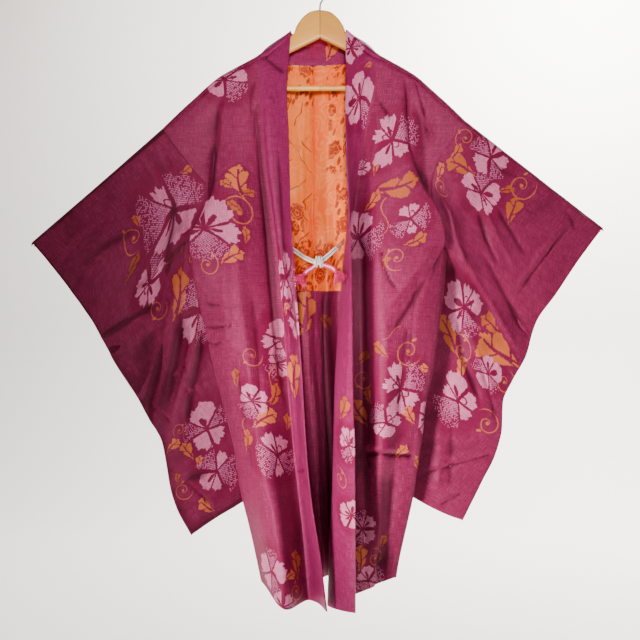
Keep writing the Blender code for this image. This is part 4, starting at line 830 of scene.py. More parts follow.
def painted_shade_depths(points, quads, triangles):
    """How deep each point lies under the smoothed cloth about it, in mm: the depth by which the
    silk is darkened as painted shade.
    """
    pairs = np.concatenate([quads[:, [k, (k + 1) % 4]] for k in range(4)]
                           + [triangles[:, [k, (k + 1) % 3]] for k in range(3)])
    start, end = np.concatenate([pairs, pairs[:, ::-1]]).T
    count = len(points)
    shares = np.maximum(np.bincount(start, minlength=count), 1)[:, None]
    smoothed = points.copy()
    for _ in range(FOLD_SMOOTHINGS):
        smoothed = np.column_stack([np.bincount(start, smoothed[end, k], count)
                                    for k in range(3)]) / shares
    a, b, c, d = (points[quads[:, k]] for k in range(4))
    facing = np.cross(c - a, d - b)
    normals = unit(np.column_stack([np.bincount(quads.ravel(), np.repeat(facing[:, k], 4), count)
                                    for k in range(3)]))
    return np.sum((smoothed - points) * normals, axis=1) / MM


class Cloth:
    """Collects the cells of one piece of cloth, with each corner's place on the flat cloth."""

    def __init__(self):
        self.places, self.quads, self.flats = [], [], []
        self.triangles, self.triangle_flats = [], []
        self.count = 0

    def points(self, places):
        """Adds points and returns their numbers, in the same shape."""
        flat = np.asarray(places).reshape(-1, 3)
        numbers = np.arange(self.count, self.count + len(flat)).reshape(places.shape[:-1])
        self.places.append(flat)
        self.count += len(flat)
        return numbers

    def cells(self, numbers, flat, turned=False):
        """Adds the cells of a grid of point numbers."""
        corners = [np.s_[:-1, :-1], np.s_[1:, :-1], np.s_[1:, 1:], np.s_[:-1, 1:]]
        if turned:
            corners = corners[::-1]
        self.quads.append(np.stack([numbers[c].ravel() for c in corners], axis=-1))
        self.flats.append(np.stack([flat[c].reshape(-1, 2) for c in corners], axis=1))

    def sheet(self, grid, normals, thickness, flat, shift=0.0):
        """Adds a closed wall about a grid."""
        points = world(grid)
        outer, inner = [self.points(points + normals * (shift + half * thickness / 2) * MM)
                        for half in (1, -1)]
        self.cells(outer, flat)
        self.cells(inner, flat, turned=True)
        nu, nv = outer.shape
        rim = ([(i, 0) for i in range(nu)] + [(nu - 1, j) for j in range(1, nv)]
               + [(i, nv - 1) for i in range(nu - 2, -1, -1)]
               + [(0, j) for j in range(nv - 2, -1, -1)])
        i, j = np.array(rim).T
        self.cells(np.stack([outer[i, j], inner[i, j]]), np.stack([flat[i, j]] * 2))

    def fan(self, corners, place):
        """Adds one triangle whose corners share a place on the flat cloth."""
        self.triangles.append(corners)
        self.triangle_flats.append([tuple(place)] * 3)

    def caps(self, numbers, path, run):
        """Closes both ends of a tube of rings about a path."""
        for end in (0, -1):
            centre = self.points(path[end][None])[0]
            for a, b in zip(numbers[:-1, end], numbers[1:, end]):
                self.fan((b, a, centre) if end == 0 else (a, b, centre), (0.0, run[end]))

    def piece(self, name, finish, motifs=()):
        """Makes the object, with the pattern's own places at every corner."""
        points = np.concatenate(self.places)
        quads, flats = np.concatenate(self.quads), np.concatenate(self.flats)
        triangles = np.array(self.triangles, dtype=int).reshape(-1, 3)
        tri_flats = np.array(self.triangle_flats, dtype=float).reshape(-1, 3, 2)
        a, b, c, d = (points[quads[:, k]] for k in range(4))
        volume = np.sum(a * np.cross(b, c)) + np.sum(a * np.cross(c, d))
        if volume < 0:
            quads, flats = quads[:, ::-1], flats[:, ::-1]
            triangles, tri_flats = triangles[:, ::-1], tri_flats[:, ::-1]
        mesh = bpy.data.meshes.new(name)
        mesh.from_pydata(points.tolist(), [], quads.tolist() + triangles.tolist())
        corner_flats = np.concatenate([flats.reshape(-1, 2), tri_flats.reshape(-1, 2)])
        middles = np.concatenate([flats.mean(axis=1), tri_flats.mean(axis=1)])
        sizes = np.array([4] * len(quads) + [3] * len(triangles))
        uv = mesh.uv_layers.new(name="Cloth")
        uv.data.foreach_set("uv", corner_flats.ravel())
        for kind in REACH:
            own = [m for m in motifs if m[0] == kind]
            local = np.full((len(corner_flats), 3), NO_MOTIF)
            if own:
                away = np.stack([np.linalg.norm((middles - m[1]) @ m[2].T, axis=-1) for m in own])
                chosen = np.argmin(away, axis=0)
                chosen[np.min(away, axis=0) > REACH[kind]] = -1
                per_corner = np.repeat(chosen, sizes)
                for k, motif in enumerate(own):
                    picked = per_corner == k
                    local[picked, :2] = (corner_flats[picked] - motif[1]) @ motif[2].T
                    local[picked, 2] = motif[3]
            data = mesh.attributes.new(kind, "FLOAT_VECTOR", "CORNER")
            data.data.foreach_set("vector", local.astype(np.float32).ravel())
        # how deep each point lies below the smoothed cloth: the silk finishes darken it as painted
        # shade in creases and valleys
        depth = mesh.attributes.new("fold", "FLOAT", "POINT")
        depth.data.foreach_set("value", painted_shade_depths(points, quads, triangles).astype(np.float32))
        mesh.update()
        mesh.shade_smooth()
        mesh.set_sharp_from_angle(angle=math.radians(CLOTH_EDGE))
        mesh.materials.append(finish)
        return link(name, mesh)


def link(name, data):
    """An object at the origin, in the scene."""
    obj = bpy.data.objects.new(name, data)
    bpy.context.scene.collection.objects.link(obj)
    return obj


def place(obj, slot, *nodes):
    """The piece rides on the part's one body and stands for its nodes; the slot is not used."""
    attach(obj, "root")
    if nodes:
        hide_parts(*nodes)
    return obj


# ------------------------------------------------------------------ finishes
class Wire:
    """A socket in a material: sums and products of it add Math nodes."""

    def __init__(self, finish, socket):
        self.finish, self.socket = finish, socket

    def maths(self, operation, *values, clamp=False):
        return self.finish.node("ShaderNodeMath", {"operation": operation, "use_clamp": clamp},
                                dict(enumerate((self,) + values)))

    __add__ = __radd__ = partialmethod(maths, "ADD")
    __sub__ = partialmethod(maths, "SUBTRACT")
    __rsub__ = partialmethod(maths, "MULTIPLY_ADD", -1.0)
    __mul__ = __rmul__ = partialmethod(maths, "MULTIPLY")
    __truediv__ = partialmethod(maths, "DIVIDE")

    def __rtruediv__(self, other):
        return self.maths("POWER", -1.0) * other

    either = partialmethod(maths, "MAXIMUM")
    size = partialmethod(maths, "ABSOLUTE")
    part = partialmethod(maths, "FRACT")
    whole = partialmethod(maths, "FLOOR")
    sine = partialmethod(maths, "SINE")

    def held(self):
        """No less than 0 and no more than 1."""
        return self.maths("ADD", 0.0, clamp=True)

    def ramp(self, start, gain):
        """0 up to the start, and from there on steeper by the gain up to 1."""
        return (self - start).maths("MULTIPLY", gain, clamp=True)

    def below(self, edge, soft=0.02):
        """1 where this is under the edge, easing to 0 over soft."""
        return ((edge - self) / soft + 0.5).held()

    def above(self, edge, soft=0.02):
        """1 where this is over the edge, easing to 0 over soft."""
        return ((self - edge) / soft + 0.5).held()


class Finish:
    """A material, with one way to make each of its nodes."""

    def __init__(self, name, **constants):
        self.material = bpy.data.materials.new(name)
        self.material.use_nodes = True
        self.tree = self.material.node_tree
        self.shader = self.tree.nodes["Principled BSDF"]
        for socket, value in constants.items():
            self.shader.inputs[socket.replace("_", " ")].default_value = value

    def node(self, kind, settings=None, values=None, out=0):
        """A node with its settings made first, then its sockets set or linked."""
        made = self.tree.nodes.new(kind)
        for key, value in (settings or {}).items():
            setattr(made, key, value)
        for key, value in (values or {}).items():
            if isinstance(value, Wire):
                self.tree.links.new(value.socket, made.inputs[key])
            else:
                made.inputs[key].default_value = value
        return Wire(self, made.outputs[out])

    def set(self, **links):
        """Links wires to the shader's sockets."""
        for key, value in links.items():
            self.tree.links.new(value.socket, self.shader.inputs[key.replace("_", " ")])

    def mix(self, factor, low, high, blend="MIX"):
        """Colour between two colours."""
        low, high = [c if isinstance(c, Wire) else (*c, 1.0) for c in (low, high)]
        return self.node("ShaderNodeMix", {"data_type": "RGBA", "blend_type": blend},
                         {0: factor, 6: low, 7: high}, 2)

    def split(self, vector):
        """x, y and z of a vector."""
        return [self.node("ShaderNodeSeparateXYZ", None, {0: vector}, k) for k in range(3)]

    def join(self, x, y, z=0.0):
        return self.node("ShaderNodeCombineXYZ", None, {0: x, 1: y, 2: z})

    def noise(self, vector, scale, detail=2.0, rough=0.5):
        return self.node("ShaderNodeTexNoise", None,
                         {"Vector": vector, "Scale": scale, "Detail": detail, "Roughness": rough})

    def grain(self, x, y, z=0.0, detail=1.0, rough=0.5):
        """Noise whose cells are as long each way as the factors in x, y and z make them."""
        return self.noise(self.join(x, y, z), 1.0, detail, rough)

    def cells(self, x, y, z, uneven):
        """How far it is to the middle of the nearest of many scattered cells."""
        return self.node("ShaderNodeTexVoronoi", {"feature": "F1"}, {
            "Vector": self.join(x, y, z), "Scale": 1.0, "Randomness": uneven})

    def chance(self, *numbers):
        """A number from 0 to 1 that jumps with each whole number given."""
        padded = list(numbers) + [0.0] * (3 - len(numbers))
        return self.node("ShaderNodeTexWhiteNoise", {"noise_dimensions": "3D"},
                         {"Vector": self.join(*padded)})

    def bump(self, height, strength, distance):
        self.set(Normal=self.node("ShaderNodeBump", None, {
            "Strength": strength, "Distance": distance, "Height": height}))

    def cloth_place(self):
        """Across and down on the flat cloth, in metres."""
        return self.split(self.node("ShaderNodeUVMap", {"uv_map": "Cloth"}))[:2]

    def object_place(self):
        """Place in the scene, in metres."""
        return self.node("ShaderNodeTexCoord", None, None, 3)

    def attribute(self, name):
        return self.split(self.node("ShaderNodeAttribute", {"attribute_name": name}, None, 1))

    def motif(self, kind, slips, share):
        """Place within a motif, out by a share of the threads' slips, and its luck, 0 to 1."""
        x, y, luck = self.attribute(kind)
        return x + slips[0] * share, y + slips[1] * share, luck


def colour(red, green, blue):
    """A colour from 0-255 values as they look, as light."""
    return tuple(((c / 255 + 0.055) / 1.055) ** 2.4 if c > 10 else c / 255 / 12.92
                 for c in (red, green, blue))


SLIP = 0.0018               # how widely dyed threads lie about their places, in metres


def threads(finish, over, down):
    """Slubs of the weft and warp, each about 0 to 1, and the dyed threads' slips in metres."""
    fine, long = 900.0, 60.0
    weft = finish.grain(over * long, down * fine, 0.0, 2.0, 0.6)
    warp = finish.grain(over * fine, down * long, 7.0, 2.0, 0.6)
    slips = [(finish.chance((along * fine).whole(), number) - 0.5) * SLIP
             for along, number in ((down, 3.0), (over, 11.0))]
    return weft, warp, slips


PETALS = 5.0
SLANT = (0.5, 0.866)        # cosine and sine of the slant of a flower's dots


def flower_masks(finish, slips, over, down):
    """A flower of broad uneven petals: petals, dots, dark outlines and the ground about it."""
    x, y, seed = finish.motif("flower", slips, 17.0)
    number = (seed * float(LUCKS)).whole()
    away = (x * x + y * y).maths("SQRT")
    turn = y.maths("ARCTAN2", x)
    bent = (turn + (turn * 2.0 + seed * 20.0).sine() * 0.26
            + (turn * 3.0 + seed * 11.0 + away * 1.4).sine() * 0.10)
    place_in = (bent / (2 * math.pi) + 0.5) * PETALS
    sector = place_in.whole().maths("MODULO", PETALS)
    off = place_in.part() - 0.5
    luck = finish.chance(sector, number)
    luck_two = finish.chance(sector + 9.0, number)
    shifted = (sector + (number * 0.079).whole()).maths("MODULO", PETALS)
    dashed = shifted.below(0.5, 0.001).either(
        (shifted - 2.0).size().below(0.5, 0.001) * luck.below(0.38, 0.001))
    solid = 1.0 - dashed
    rough = 0.6 + seed * 0.9
    jag = ((off * 19.0 + seed * 40.0 + sector * 2.0).sine() * 0.040
           + (off * 47.0 + seed * 90.0 + sector * 3.0).sine() * 0.024) * rough
    fourth = off * off * 4.0
    reach = (1.0 - fourth * fourth * 0.30) * (0.72 + luck_two * 0.36) + jag
    gap = away * (0.5 - off.size()) * (2 * math.pi / PETALS)
    body = gap.above(0.048 + seed * 0.012, 0.012) * away.above(0.09, 0.03)
    slit_wide = ((away * 5.0 - 0.4).sine() * 0.105).maths("MAXIMUM", 0.0)
    slit = ((off * away * 1.25).size().below(slit_wide * 0.8, 0.012)
            * away.below(0.58, 0.02) * luck_two.above(0.40, 0.001))
    inner = ((away - (0.40 - off * off * 0.8)).size().below(0.030, 0.012)
             * luck.above(0.70, 0.001))
    petal = body * solid * away.below(reach, 0.022)
    outline = (1.0 - body) * away.below(reach * 0.97, 0.05)
    # rows of short dashes on the slant, smaller and fewer towards the edge
    along = (over * SLANT[0] + down * SLANT[1]) * 320.0
    beside = (over * SLANT[1] - down * SLANT[0]) * 420.0
    lot = finish.chance(along.whole(), beside.whole())
    dash = (along.part() - 0.5).size() * 0.86 + (beside.part() - 0.5).size() * 1.1
    small = dash.below(0.64 - away * 0.22 - lot * 0.22, 0.06)
    stipple = (body * dashed * away.below(0.98 + luck_two * 0.16, 0.05) * small
               * lot.below(1.28 - away * 0.80, 0.02))
    halo = away.below(1.26 + luck_two * 0.14, 0.3)
    mark = slit.either(inner)
    dark = outline.either(mark * solid * away.below(reach, 0.03))
    return petal * (1.0 - mark), stipple, dark, halo


def leaf_masks(finish, slips):
    """A leaf of swept, toothed blades: the gold, the dark about it and its number."""
    x, y, seed = finish.motif("leaf", slips, 24.0)
    number = (seed * float(LUCKS)).whole()
    y = y + (x * 1.9 + seed * 6.0).sine() * 0.15
    side = y.size()
    lean = x - side * 0.90
    half = y.above(0.0, 0.001)
    lobe = lean * (0.95 + seed * 0.30) + seed * 3.0 + half * 0.4
    across_lobe = lobe.part() - 0.5
    tip = (across_lobe + 0.14).size()
    point = 1.0 - tip * tip * 1.15 - tip * 0.14
    wide = ((1.0 - lean * lean * 0.80).maths("MAXIMUM", 0.02)
            * ((1.0 - x) * 2.2).maths("MINIMUM", 1.0)
            * (0.44 + seed * 0.10 + finish.chance(lobe.whole(), number + half) * 0.30))
    ragged = (lean * 27.0 + seed * 50.0).sine() * 0.024
    blade = side.below(wide * point + ragged, 0.03) * x.size().below(0.98, 0.04)
    rib = y.size().below(0.070 - x * 0.04, 0.02) * x.below(0.66, 0.05)
    vein = across_lobe.size().above(0.445, 0.03) * side.above(0.03, 0.02)
    stem = ((y - (x + 1.0) * 0.10).size().below(0.04, 0.02) * x.below(-0.80, 0.02)
            * x.above(-1.12, 0.02))
    gold = (blade * (1.0 - rib) * (1.0 - vein)).either(stem)
    near = side.below(wide + 0.16, 0.14) * x.size().below(1.05, 0.1)
    return gold, near, seed


def spiral_mask(finish, slips):
    """A thin vine that winds in to a bud."""
    x, y, seed = finish.motif("spiral", slips, 22.0)
    away = (x * x + y * y).maths("SQRT")
    turn = y.maths("ARCTAN2", x)
    winds = away.maths("POWER", 0.85) * 1.62 - turn / (2 * math.pi) + seed
    line = ((winds.part() - 0.5).size() * 0.62).below(0.026 + away * 0.010, 0.016)
    bud = away.below(0.12, 0.04)
    leaflet = ((x - 0.62) * (x - 0.62) * 3.0 + (y - 0.5) * (y - 0.5) * 12.0).below(0.09, 0.03)
    return (line * away.below(0.99, 0.02) * away.above(0.16, 0.02)).either(bud).either(leaflet)


def vine_mask(finish, slips):
    """A thin vine that swings to one side and then the other."""
    x, y, seed = finish.motif("vine", slips, 20.0)
    swing = (x * (2.2 + seed)).sine() * 0.30
    return (y - swing).size().below(0.026 + x * 0.010, 0.02) * x.size().below(0.97, 0.03)


def silk_finish(name, ground, shade, lit):
    """Patterned silk: finely crossed threads, mauve flowers, gold leaves and vines, with painted
    shade darkening creases and valleys.
    """
    silk = Finish(name, Sheen_Weight=0.05, Sheen_Roughness=0.4, Specular_IOR_Level=0.36,
                  Sheen_Tint=(1.0, 0.42, 0.62, 1.0), Specular_Tint=(1.0, 0.30, 0.50, 1.0))
    over, down = silk.cloth_place()
    weft, warp, slips = threads(silk, over, down)
    wide = silk.noise(silk.join(over, down), 5.0, 2.0)
    base = silk.mix(weft.ramp(0.36, 2.6), shade, ground)
    base = silk.mix(warp.ramp(0.50, 2.6), base, lit)
    base = silk.mix(wide.ramp(0.38, 1.4) * 0.4, base, lit)
    streak = silk.grain(over * 14.0, down * 420.0, 3.0)
    cross = silk.grain(over * 420.0, down * 14.0, 5.0)
    slub = streak.above(0.63, 0.05).either(cross.above(0.65, 0.05))
    base = silk.mix(slub * 0.34, base, shade)

    petal, stipple, dark, halo = flower_masks(silk, slips, over, down)
    gold, near, luck = leaf_masks(silk, slips)
    vine = spiral_mask(silk, slips).either(vine_mask(silk, slips))
    deep = silk.mix(weft, colour(96, 4, 42), colour(132, 12, 62))
    gold_colour = silk.mix((luck * 1.1 + weft * 0.7 + warp * 0.5 - 0.55).held(),
                           colour(166, 80, 26), colour(214, 110, 60))
    vine_colour = silk.mix((wide * 1.6 - 0.3).held(),
                           colour(184, 90, 36), colour(218, 112, 68))
    petal_colour = silk.mix((weft + warp).ramp(0.72, 2.2),
                            colour(188, 82, 126), colour(226, 132, 168))
    fleck_colour = silk.mix(wide, colour(204, 98, 148), colour(236, 148, 188))
    shown = base
    for mask, laid in ((halo.either(near * 0.7) * 0.62, deep), (vine * 0.92, vine_colour),
                       (gold * 0.95, gold_colour), (stipple * 0.96, fleck_colour),
                       (dark * 0.88, colour(112, 8, 50)), (petal * 0.96, petal_colour)):
        shown = silk.mix(mask, shown, laid)
    # painted shade: the colour is darkened where the cloth lies deep in a crease or valley
    painted_hollow_shade = (silk.attribute("fold")[0] * 0.54).ramp(0.06, 1.0)
    shown = silk.mix(painted_hollow_shade * 0.7, shown, colour(98, 42, 66), blend="MULTIPLY")
    silk.set(Base_Color=shown, Roughness=0.50 + (weft - 0.5) * 0.25 + petal * 0.06)
    silk.bump(weft * 0.5 + warp * 0.5 - slub * 0.2 + petal * 0.05, 0.22, 0.0005)
    return silk.material


def lining_finish():
    """Orange figured silk: swirls and figured lines painted lighter as painted sheen, the lines
    also smoother, red roses, leaves and branches.
    """
    silk = Finish("lining orange silk", Sheen_Weight=0.05, Sheen_Roughness=0.4,
                  Specular_IOR_Level=0.4, Sheen_Tint=(1.0, 0.6, 0.35, 1.0),
                  Specular_Tint=(1.0, 0.45, 0.20, 1.0))
    over, down = silk.cloth_place()
    x, _, z = silk.split(silk.object_place())
    weave = silk.grain(over * 400.0, down * 1400.0, 0.0, 2.0)
    field = silk.grain(over * 30.0, down * 26.0)
    figure_and_painted_sheen = (field * 26.0 + down * 60.0).sine().size().above(0.86, 0.12)
    painted_sheen_swirl = silk.grain(over * 14.0, down * 9.0, 4.0)
    right_half = x.above(-0.012, 0.002)
    left_half = 1.0 - right_half
    plain_left = left_half * z.above(-0.405, 0.003)
    ground = silk.mix(plain_left, colour(255, 96, 22), colour(250, 112, 34))
    # painted sheen: lighter swirls, fewer of them on the plain left part
    ground = silk.mix(painted_sheen_swirl.ramp(0.42, 3.0) * (0.75 - plain_left * 0.5),
                      ground, colour(255, 136, 66))
    # painted sheen on the figured lines, which are also smoother and raised below
    ground = silk.mix(figure_and_painted_sheen * (0.32 - plain_left * 0.14), ground, colour(255, 164, 100))
    low = z.below(-0.470, 0.02)
    ground = silk.mix(low * 0.5, ground, colour(224, 84, 26))

    # where the red of the figure gathers: the wearer's left edge, and low on both sides
    edge = (x.above(0.016, 0.016) * z.above(-0.345, 0.02)).either(
        x.above(0.030, 0.010) * z.below(-0.370, 0.02)).either(
        left_half * x.below(-0.030, 0.010) * z.below(-0.395, 0.01)).either(
        left_half * z.above(-0.215, 0.02) * 0.8).either(low * 0.8)
    cell = silk.cells(over * 34.0, down * 27.0, 2.0, 0.8)
    petals = ((cell * 5.2 + silk.grain(over * 120.0, down * 120.0) * 1.7)
              .part() - 0.5).size().below(0.13, 0.08)
    ragged = silk.grain(over * 200.0, down * 200.0, 3.0) * 0.22
    rose = (cell + ragged).below(0.53, 0.04) * edge.above(0.5, 0.3)
    blades = silk.cells(over * 100.0 + down * 36.0, down * 40.0 - over * 20.0, 5.0, 0.9)
    leaves = ((blades + ragged * 1.2).below(0.46, 0.05) * edge.above(0.2, 0.3)
              * cell.above(0.36, 0.03))
    red = silk.mix(weave, colour(132, 12, 2), colour(178, 34, 8))
    shown = silk.mix(leaves * 0.86, ground, red)
    shown = silk.mix(rose * 0.90, shown, red)
    shown = silk.mix(petals * rose * 0.8, shown, colour(240, 92, 40))

    # drawn branches on the wearer's right half
    bend = silk.grain(over * 26.0, down * 26.0, 1.0) * 1.3
    branch = ((over * 26.0 + down * 17.0 + bend).part() - 0.5).size().below(0.028, 0.02)
    twig = ((over * 34.0 - down * 26.0 + bend * 1.4).part() - 0.5).size().below(0.030, 0.02)
    some = silk.grain(over * 20.0, down * 17.0, 5.0)
    inked = (branch * some.above(0.50, 0.03)).either(twig * some.below(0.46, 0.03)) * left_half
    shown = silk.mix(inked * 0.8, shown, colour(112, 30, 10))
    silk.set(Base_Color=shown, Roughness=0.42 - figure_and_painted_sheen * 0.1 + rose * 0.1)
    silk.bump(figure_and_painted_sheen * 0.4 + rose * 0.5 + weave * 0.3, 0.18, 0.0005)
    return silk.material


def wood_finish():
    """Varnished pale wood: long grain along each arm, and the glued joint between them."""
    wood = Finish("varnished pale wood", Coat_Weight=0.25, Coat_Roughness=0.25)
    x, y, z = wood.split(wood.object_place())
    arm = x.above(0.0, 0.0004)
    slope = z + x.size() * 0.58
    grain = wood.grain(x * 9.0 + arm * 5.0, slope * 420.0, y * 160.0, 4.0, 0.6)
    wide = wood.grain(x * 5.0 + arm * 3.0, slope * 80.0, y * 40.0, 2.0)
    pore = wood.grain(x * 60.0, slope * 2200.0, y * 900.0).above(0.64, 0.05)
    tone = wood.mix(grain, colour(252, 160, 52), colour(255, 194, 84))
    tone = wood.mix(wide.ramp(0.4, 1.6), tone, colour(250, 158, 54))
    tone = wood.mix(arm * 0.4, tone, colour(220, 132, 44))
    tone = wood.mix(pore * 0.3, tone, colour(176, 108, 48))
    joint = x.size().below(0.0006, 0.0006)
    tone = wood.mix(joint * 0.8, tone, colour(132, 78, 34))
    wood.set(Base_Color=tone, Roughness=0.34 + grain * 0.16)
    wood.bump(grain * 0.4 - pore * 0.4 - joint, 0.15, 0.0006)
    return wood.material


def steel_finish():
    """Drawn steel wire."""
    steel = Finish("drawn steel wire", Metallic=1.0)
    drawn = steel.grain(*(way * 900.0 for way in steel.split(steel.object_place())), 2.0)
    steel.set(Base_Color=steel.mix(drawn, colour(176, 176, 178), colour(214, 214, 216)),
              Roughness=0.22 + drawn * 0.16)
    steel.bump(drawn, 0.05, 0.0002)
    return steel.material


def braid_finish(name, edge, middle, share, side_lines=0.0):
    """A flat braid: its plaits, with a coloured line down the middle."""
    braid = Finish(name, Sheen_Weight=0.15, Sheen_Roughness=0.4)
    over, down = braid.cloth_place()
    chevron = (over.size() * 1240.0 + down * 2600.0).sine() * 0.5 + 0.5
    centre = over.size().below(share, 0.0003)
    aside = (over.size() - share * 2.2).size().below(share * 0.35, 0.0002) * side_lines
    shown = braid.mix(chevron * 0.22, edge, tuple(c * 0.66 for c in edge))
    shown = braid.mix(centre.either(aside) * 0.9, shown, middle)
    braid.set(Base_Color=shown, Roughness=0.52 + chevron * 0.12)
    braid.bump(chevron, 0.5, 0.0003)
    return braid.material


def thread_finish(name, dark, light):
    """Loose silk thread in two tones."""
    thread = Finish(name, Sheen_Weight=0.08, Sheen_Roughness=0.4)
    place_at = thread.object_place()
    patch_of = thread.noise(place_at, 210.0, 2.0)
    fine = thread.noise(place_at, 1500.0, 1.0)
    thread.set(Base_Color=thread.mix((patch_of * 1.8 - 0.4).held(), dark, light),
               Roughness=0.5 + fine * 0.15)
    thread.bump(fine, 0.3, 0.0003)
    return thread.material


def plain_finish(name, tone, rough):
    """The room's floor and wall."""
    paint = Finish(name)
    grain = paint.noise(paint.object_place(), 60.0, 3.0)
    paint.set(Base_Color=paint.mix(grain, tuple(c * 0.97 for c in tone), tone),
              Roughness=rough + grain * 0.05)
    return paint.material


# ------------------------------------------------------------------ camera, light and room
def room():
    """Camera, lights, and a pale floor that turns up into a pale wall far behind."""
    camera = bpy.data.cameras.new("camera")
    camera.sensor_width = FILM
    camera.lens = FILM / 2 / (HALF_VIEW / EYE_BACK)
    eye = link("camera", camera)
    eye.location = (0.0, -EYE_BACK * MM, -EYE_DROP * MM)
    eye.rotation_euler = (math.pi / 2, 0.0, 0.0)
    bpy.context.scene.camera = eye

    bend_y = WALL_Y - WALL_BEND
    profile = [(FLOOR_FRONT, FLOOR_Z), (bend_y, FLOOR_Z)]
    profile += [(bend_y + WALL_BEND * math.sin(a), FLOOR_Z + WALL_BEND - WALL_BEND * math.cos(a))
                for a in np.linspace(0, math.pi / 2, 16)[1:]]
    profile.append((WALL_Y, WALL_TOP))
    mesh = bpy.data.meshes.new("floor_and_wall")
    points = [(x, y, z) for x in (-ROOM_SIDE, ROOM_SIDE) for y, z in profile]
    count = len(profile)
    mesh.from_pydata(points, [], [(k, k + count, k + count + 1, k + 1) for k in range(count - 1)])
    mesh.shade_smooth()
    mesh.materials.append(plain_finish("pale room", colour(246, 243, 238), 0.85))
    link("floor_and_wall", mesh)

    world_light = bpy.data.worlds.new("studio")
    bpy.context.scene.world = world_light
    world_light.use_nodes = True
    glow = world_light.node_tree.nodes["Background"]
    glow.inputs["Color"].default_value = GLOW_TINT
    glow.inputs["Strength"].default_value = GLOW
    for name, place_at, aim, size, power, spread, tint in LIGHTS:
        lamp = bpy.data.lights.new(name, "AREA")
        lamp.size, lamp.energy, lamp.color = size, power, tint
        lamp.spread = math.radians(spread)
        obj = link(name, lamp)
        obj.location = place_at
        way = np.array(aim) - np.array(place_at)
        flat = math.hypot(way[0], way[1])
        obj.rotation_euler = (math.atan2(flat, -way[2]), 0.0, math.atan2(-way[0], way[1]))


# ------------------------------------------------------------------ ties
def frames_along(path):
    """Unit directions aside and up at each point, with up nearest to the front."""
    ahead = unit(np.gradient(path, axis=0))
    aside = unit(np.cross(ahead, np.array([0.0, -1.0, 0.0])))
    return aside, np.cross(aside, ahead)


def braid(cloth, path, width, thick, closed=False):
    """Adds a flat braid along a path in metres: rounded plaits side by side."""
    path = np.asarray(path, dtype=float)
    if closed:
        up = unit(path - path.mean(axis=0))
        aside = unit(np.cross(unit(np.roll(path, -1, axis=0) - np.roll(path, 1, axis=0)), up))
    else:
        aside, up = frames_along(path)
    run = np.concatenate([[0], np.cumsum(np.linalg.norm(np.diff(path, axis=0), axis=1))])
    rings, flats = [], []
    for a in np.linspace(0, 2 * math.pi, BRAID_SIDES + 1):
        ridge = 1.0 + 0.10 * abs(math.cos(3 * a)) ** 2
        wave = 1.0 + 0.07 * np.sin(run / MM * 2 * math.pi / PLAIT_LENGTH
                                   + 3.1 * np.cos(a) * 2)
        x = width / 2 * math.copysign(abs(math.cos(a)) ** 0.75, math.cos(a)) * MM
        y = thick / 2 * math.sin(a) * ridge * MM * wave
        rings.append(path + aside * x + up * np.reshape(y, (-1, 1)))
        flats.append(np.column_stack([np.full(len(path), x), run]))
    rings = np.array(rings)[:-1]
    numbers = cloth.points(rings)
    numbers = np.concatenate([numbers, numbers[:1]])
    flat = np.array(flats)
    if closed:
        numbers = np.concatenate([numbers, numbers[:, :1]], axis=1)
        flat = np.concatenate([flat, flat[:, -1:] + np.array([0.0, 0.001])], axis=1)
    cloth.cells(numbers, flat)
    if not closed:
        cloth.caps(numbers, path, run)


def tie(side, silk_braid):
    """The flat tie from its loop at the collar to the knot."""
    path = world(by_length(TIES[side], 60))
    cloth = Cloth()
    braid(cloth, path, TIE_WIDTH, TIE_THICK)
    return cloth.piece("tie_%s_braid" % side, silk_braid), path


def collar_loop(side, thread):
    """The small sewn loop that the tie hangs in."""
    start, tip = (np.array(p, dtype=float) for p in LOOPS[side])
    ahead = unit(tip - start)
    aside = unit(np.cross(ahead, np.array([0.0, 0.3, 1.0])))
    reach = np.linalg.norm(tip - start)
    turns = np.radians(np.linspace(90, -90, 13))
    bend = [tip + LOOP_SPREAD * (ahead * math.cos(a) + aside * math.sin(a)) for a in turns]
    there, back = start + aside * LOOP_SPREAD, start - aside * LOOP_SPREAD
    half_way = ahead * reach * 0.5
    route = [there, there + half_way] + bend + [back + half_way, back]
    cloth = Cloth()
    braid(cloth, world(by_length(route, 48)), LOOP_WIDTH - 0.5, LOOP_WIDTH - 0.8)
    return place(cloth.piece("loop_%s_thread" % side, thread), "braid", "loop_" + side)


def tail(side, magenta_braid):
    """The tie's end beyond the knot."""
    cloth = Cloth()
    braid(cloth, world(by_length(TAILS[side], 40)), TAIL_WIDTH, TAIL_THICK)
    return place(cloth.piece("tail_%s_braid" % side, magenta_braid), "tassel", "tail_" + side)


def knot(silk_braid):
    """The tied knot: bands that pass over and round each other."""
    cloth = Cloth()
    turns = np.linspace(0, 2 * math.pi, 49)[:-1]
    centre = world(KNOT)
    for lean, offset, high, deep in ((8, -4.0, 9.2, 5.0), (-6, 3.7, 9.6, 5.4),
                                     (62, 0.8, 8.6, 4.0), (-66, -0.8, 8.2, 3.4)):
        tilt = math.radians(lean)
        way = np.array([math.sin(tilt), 0.0, math.cos(tilt)])
        aside = np.array([math.cos(tilt), 0.0, -math.sin(tilt)])
        path = np.array([centre + (way * high * math.cos(a) + aside * offset
                                   + np.array([0.0, -deep * math.sin(a), 0.0])) * MM
                         for a in turns])
        braid(cloth, path, KNOT_BAND, TAIL_THICK, closed=True)
    return place(cloth.piece("tie_knot_braid", silk_braid), "braid", "tie_knot")


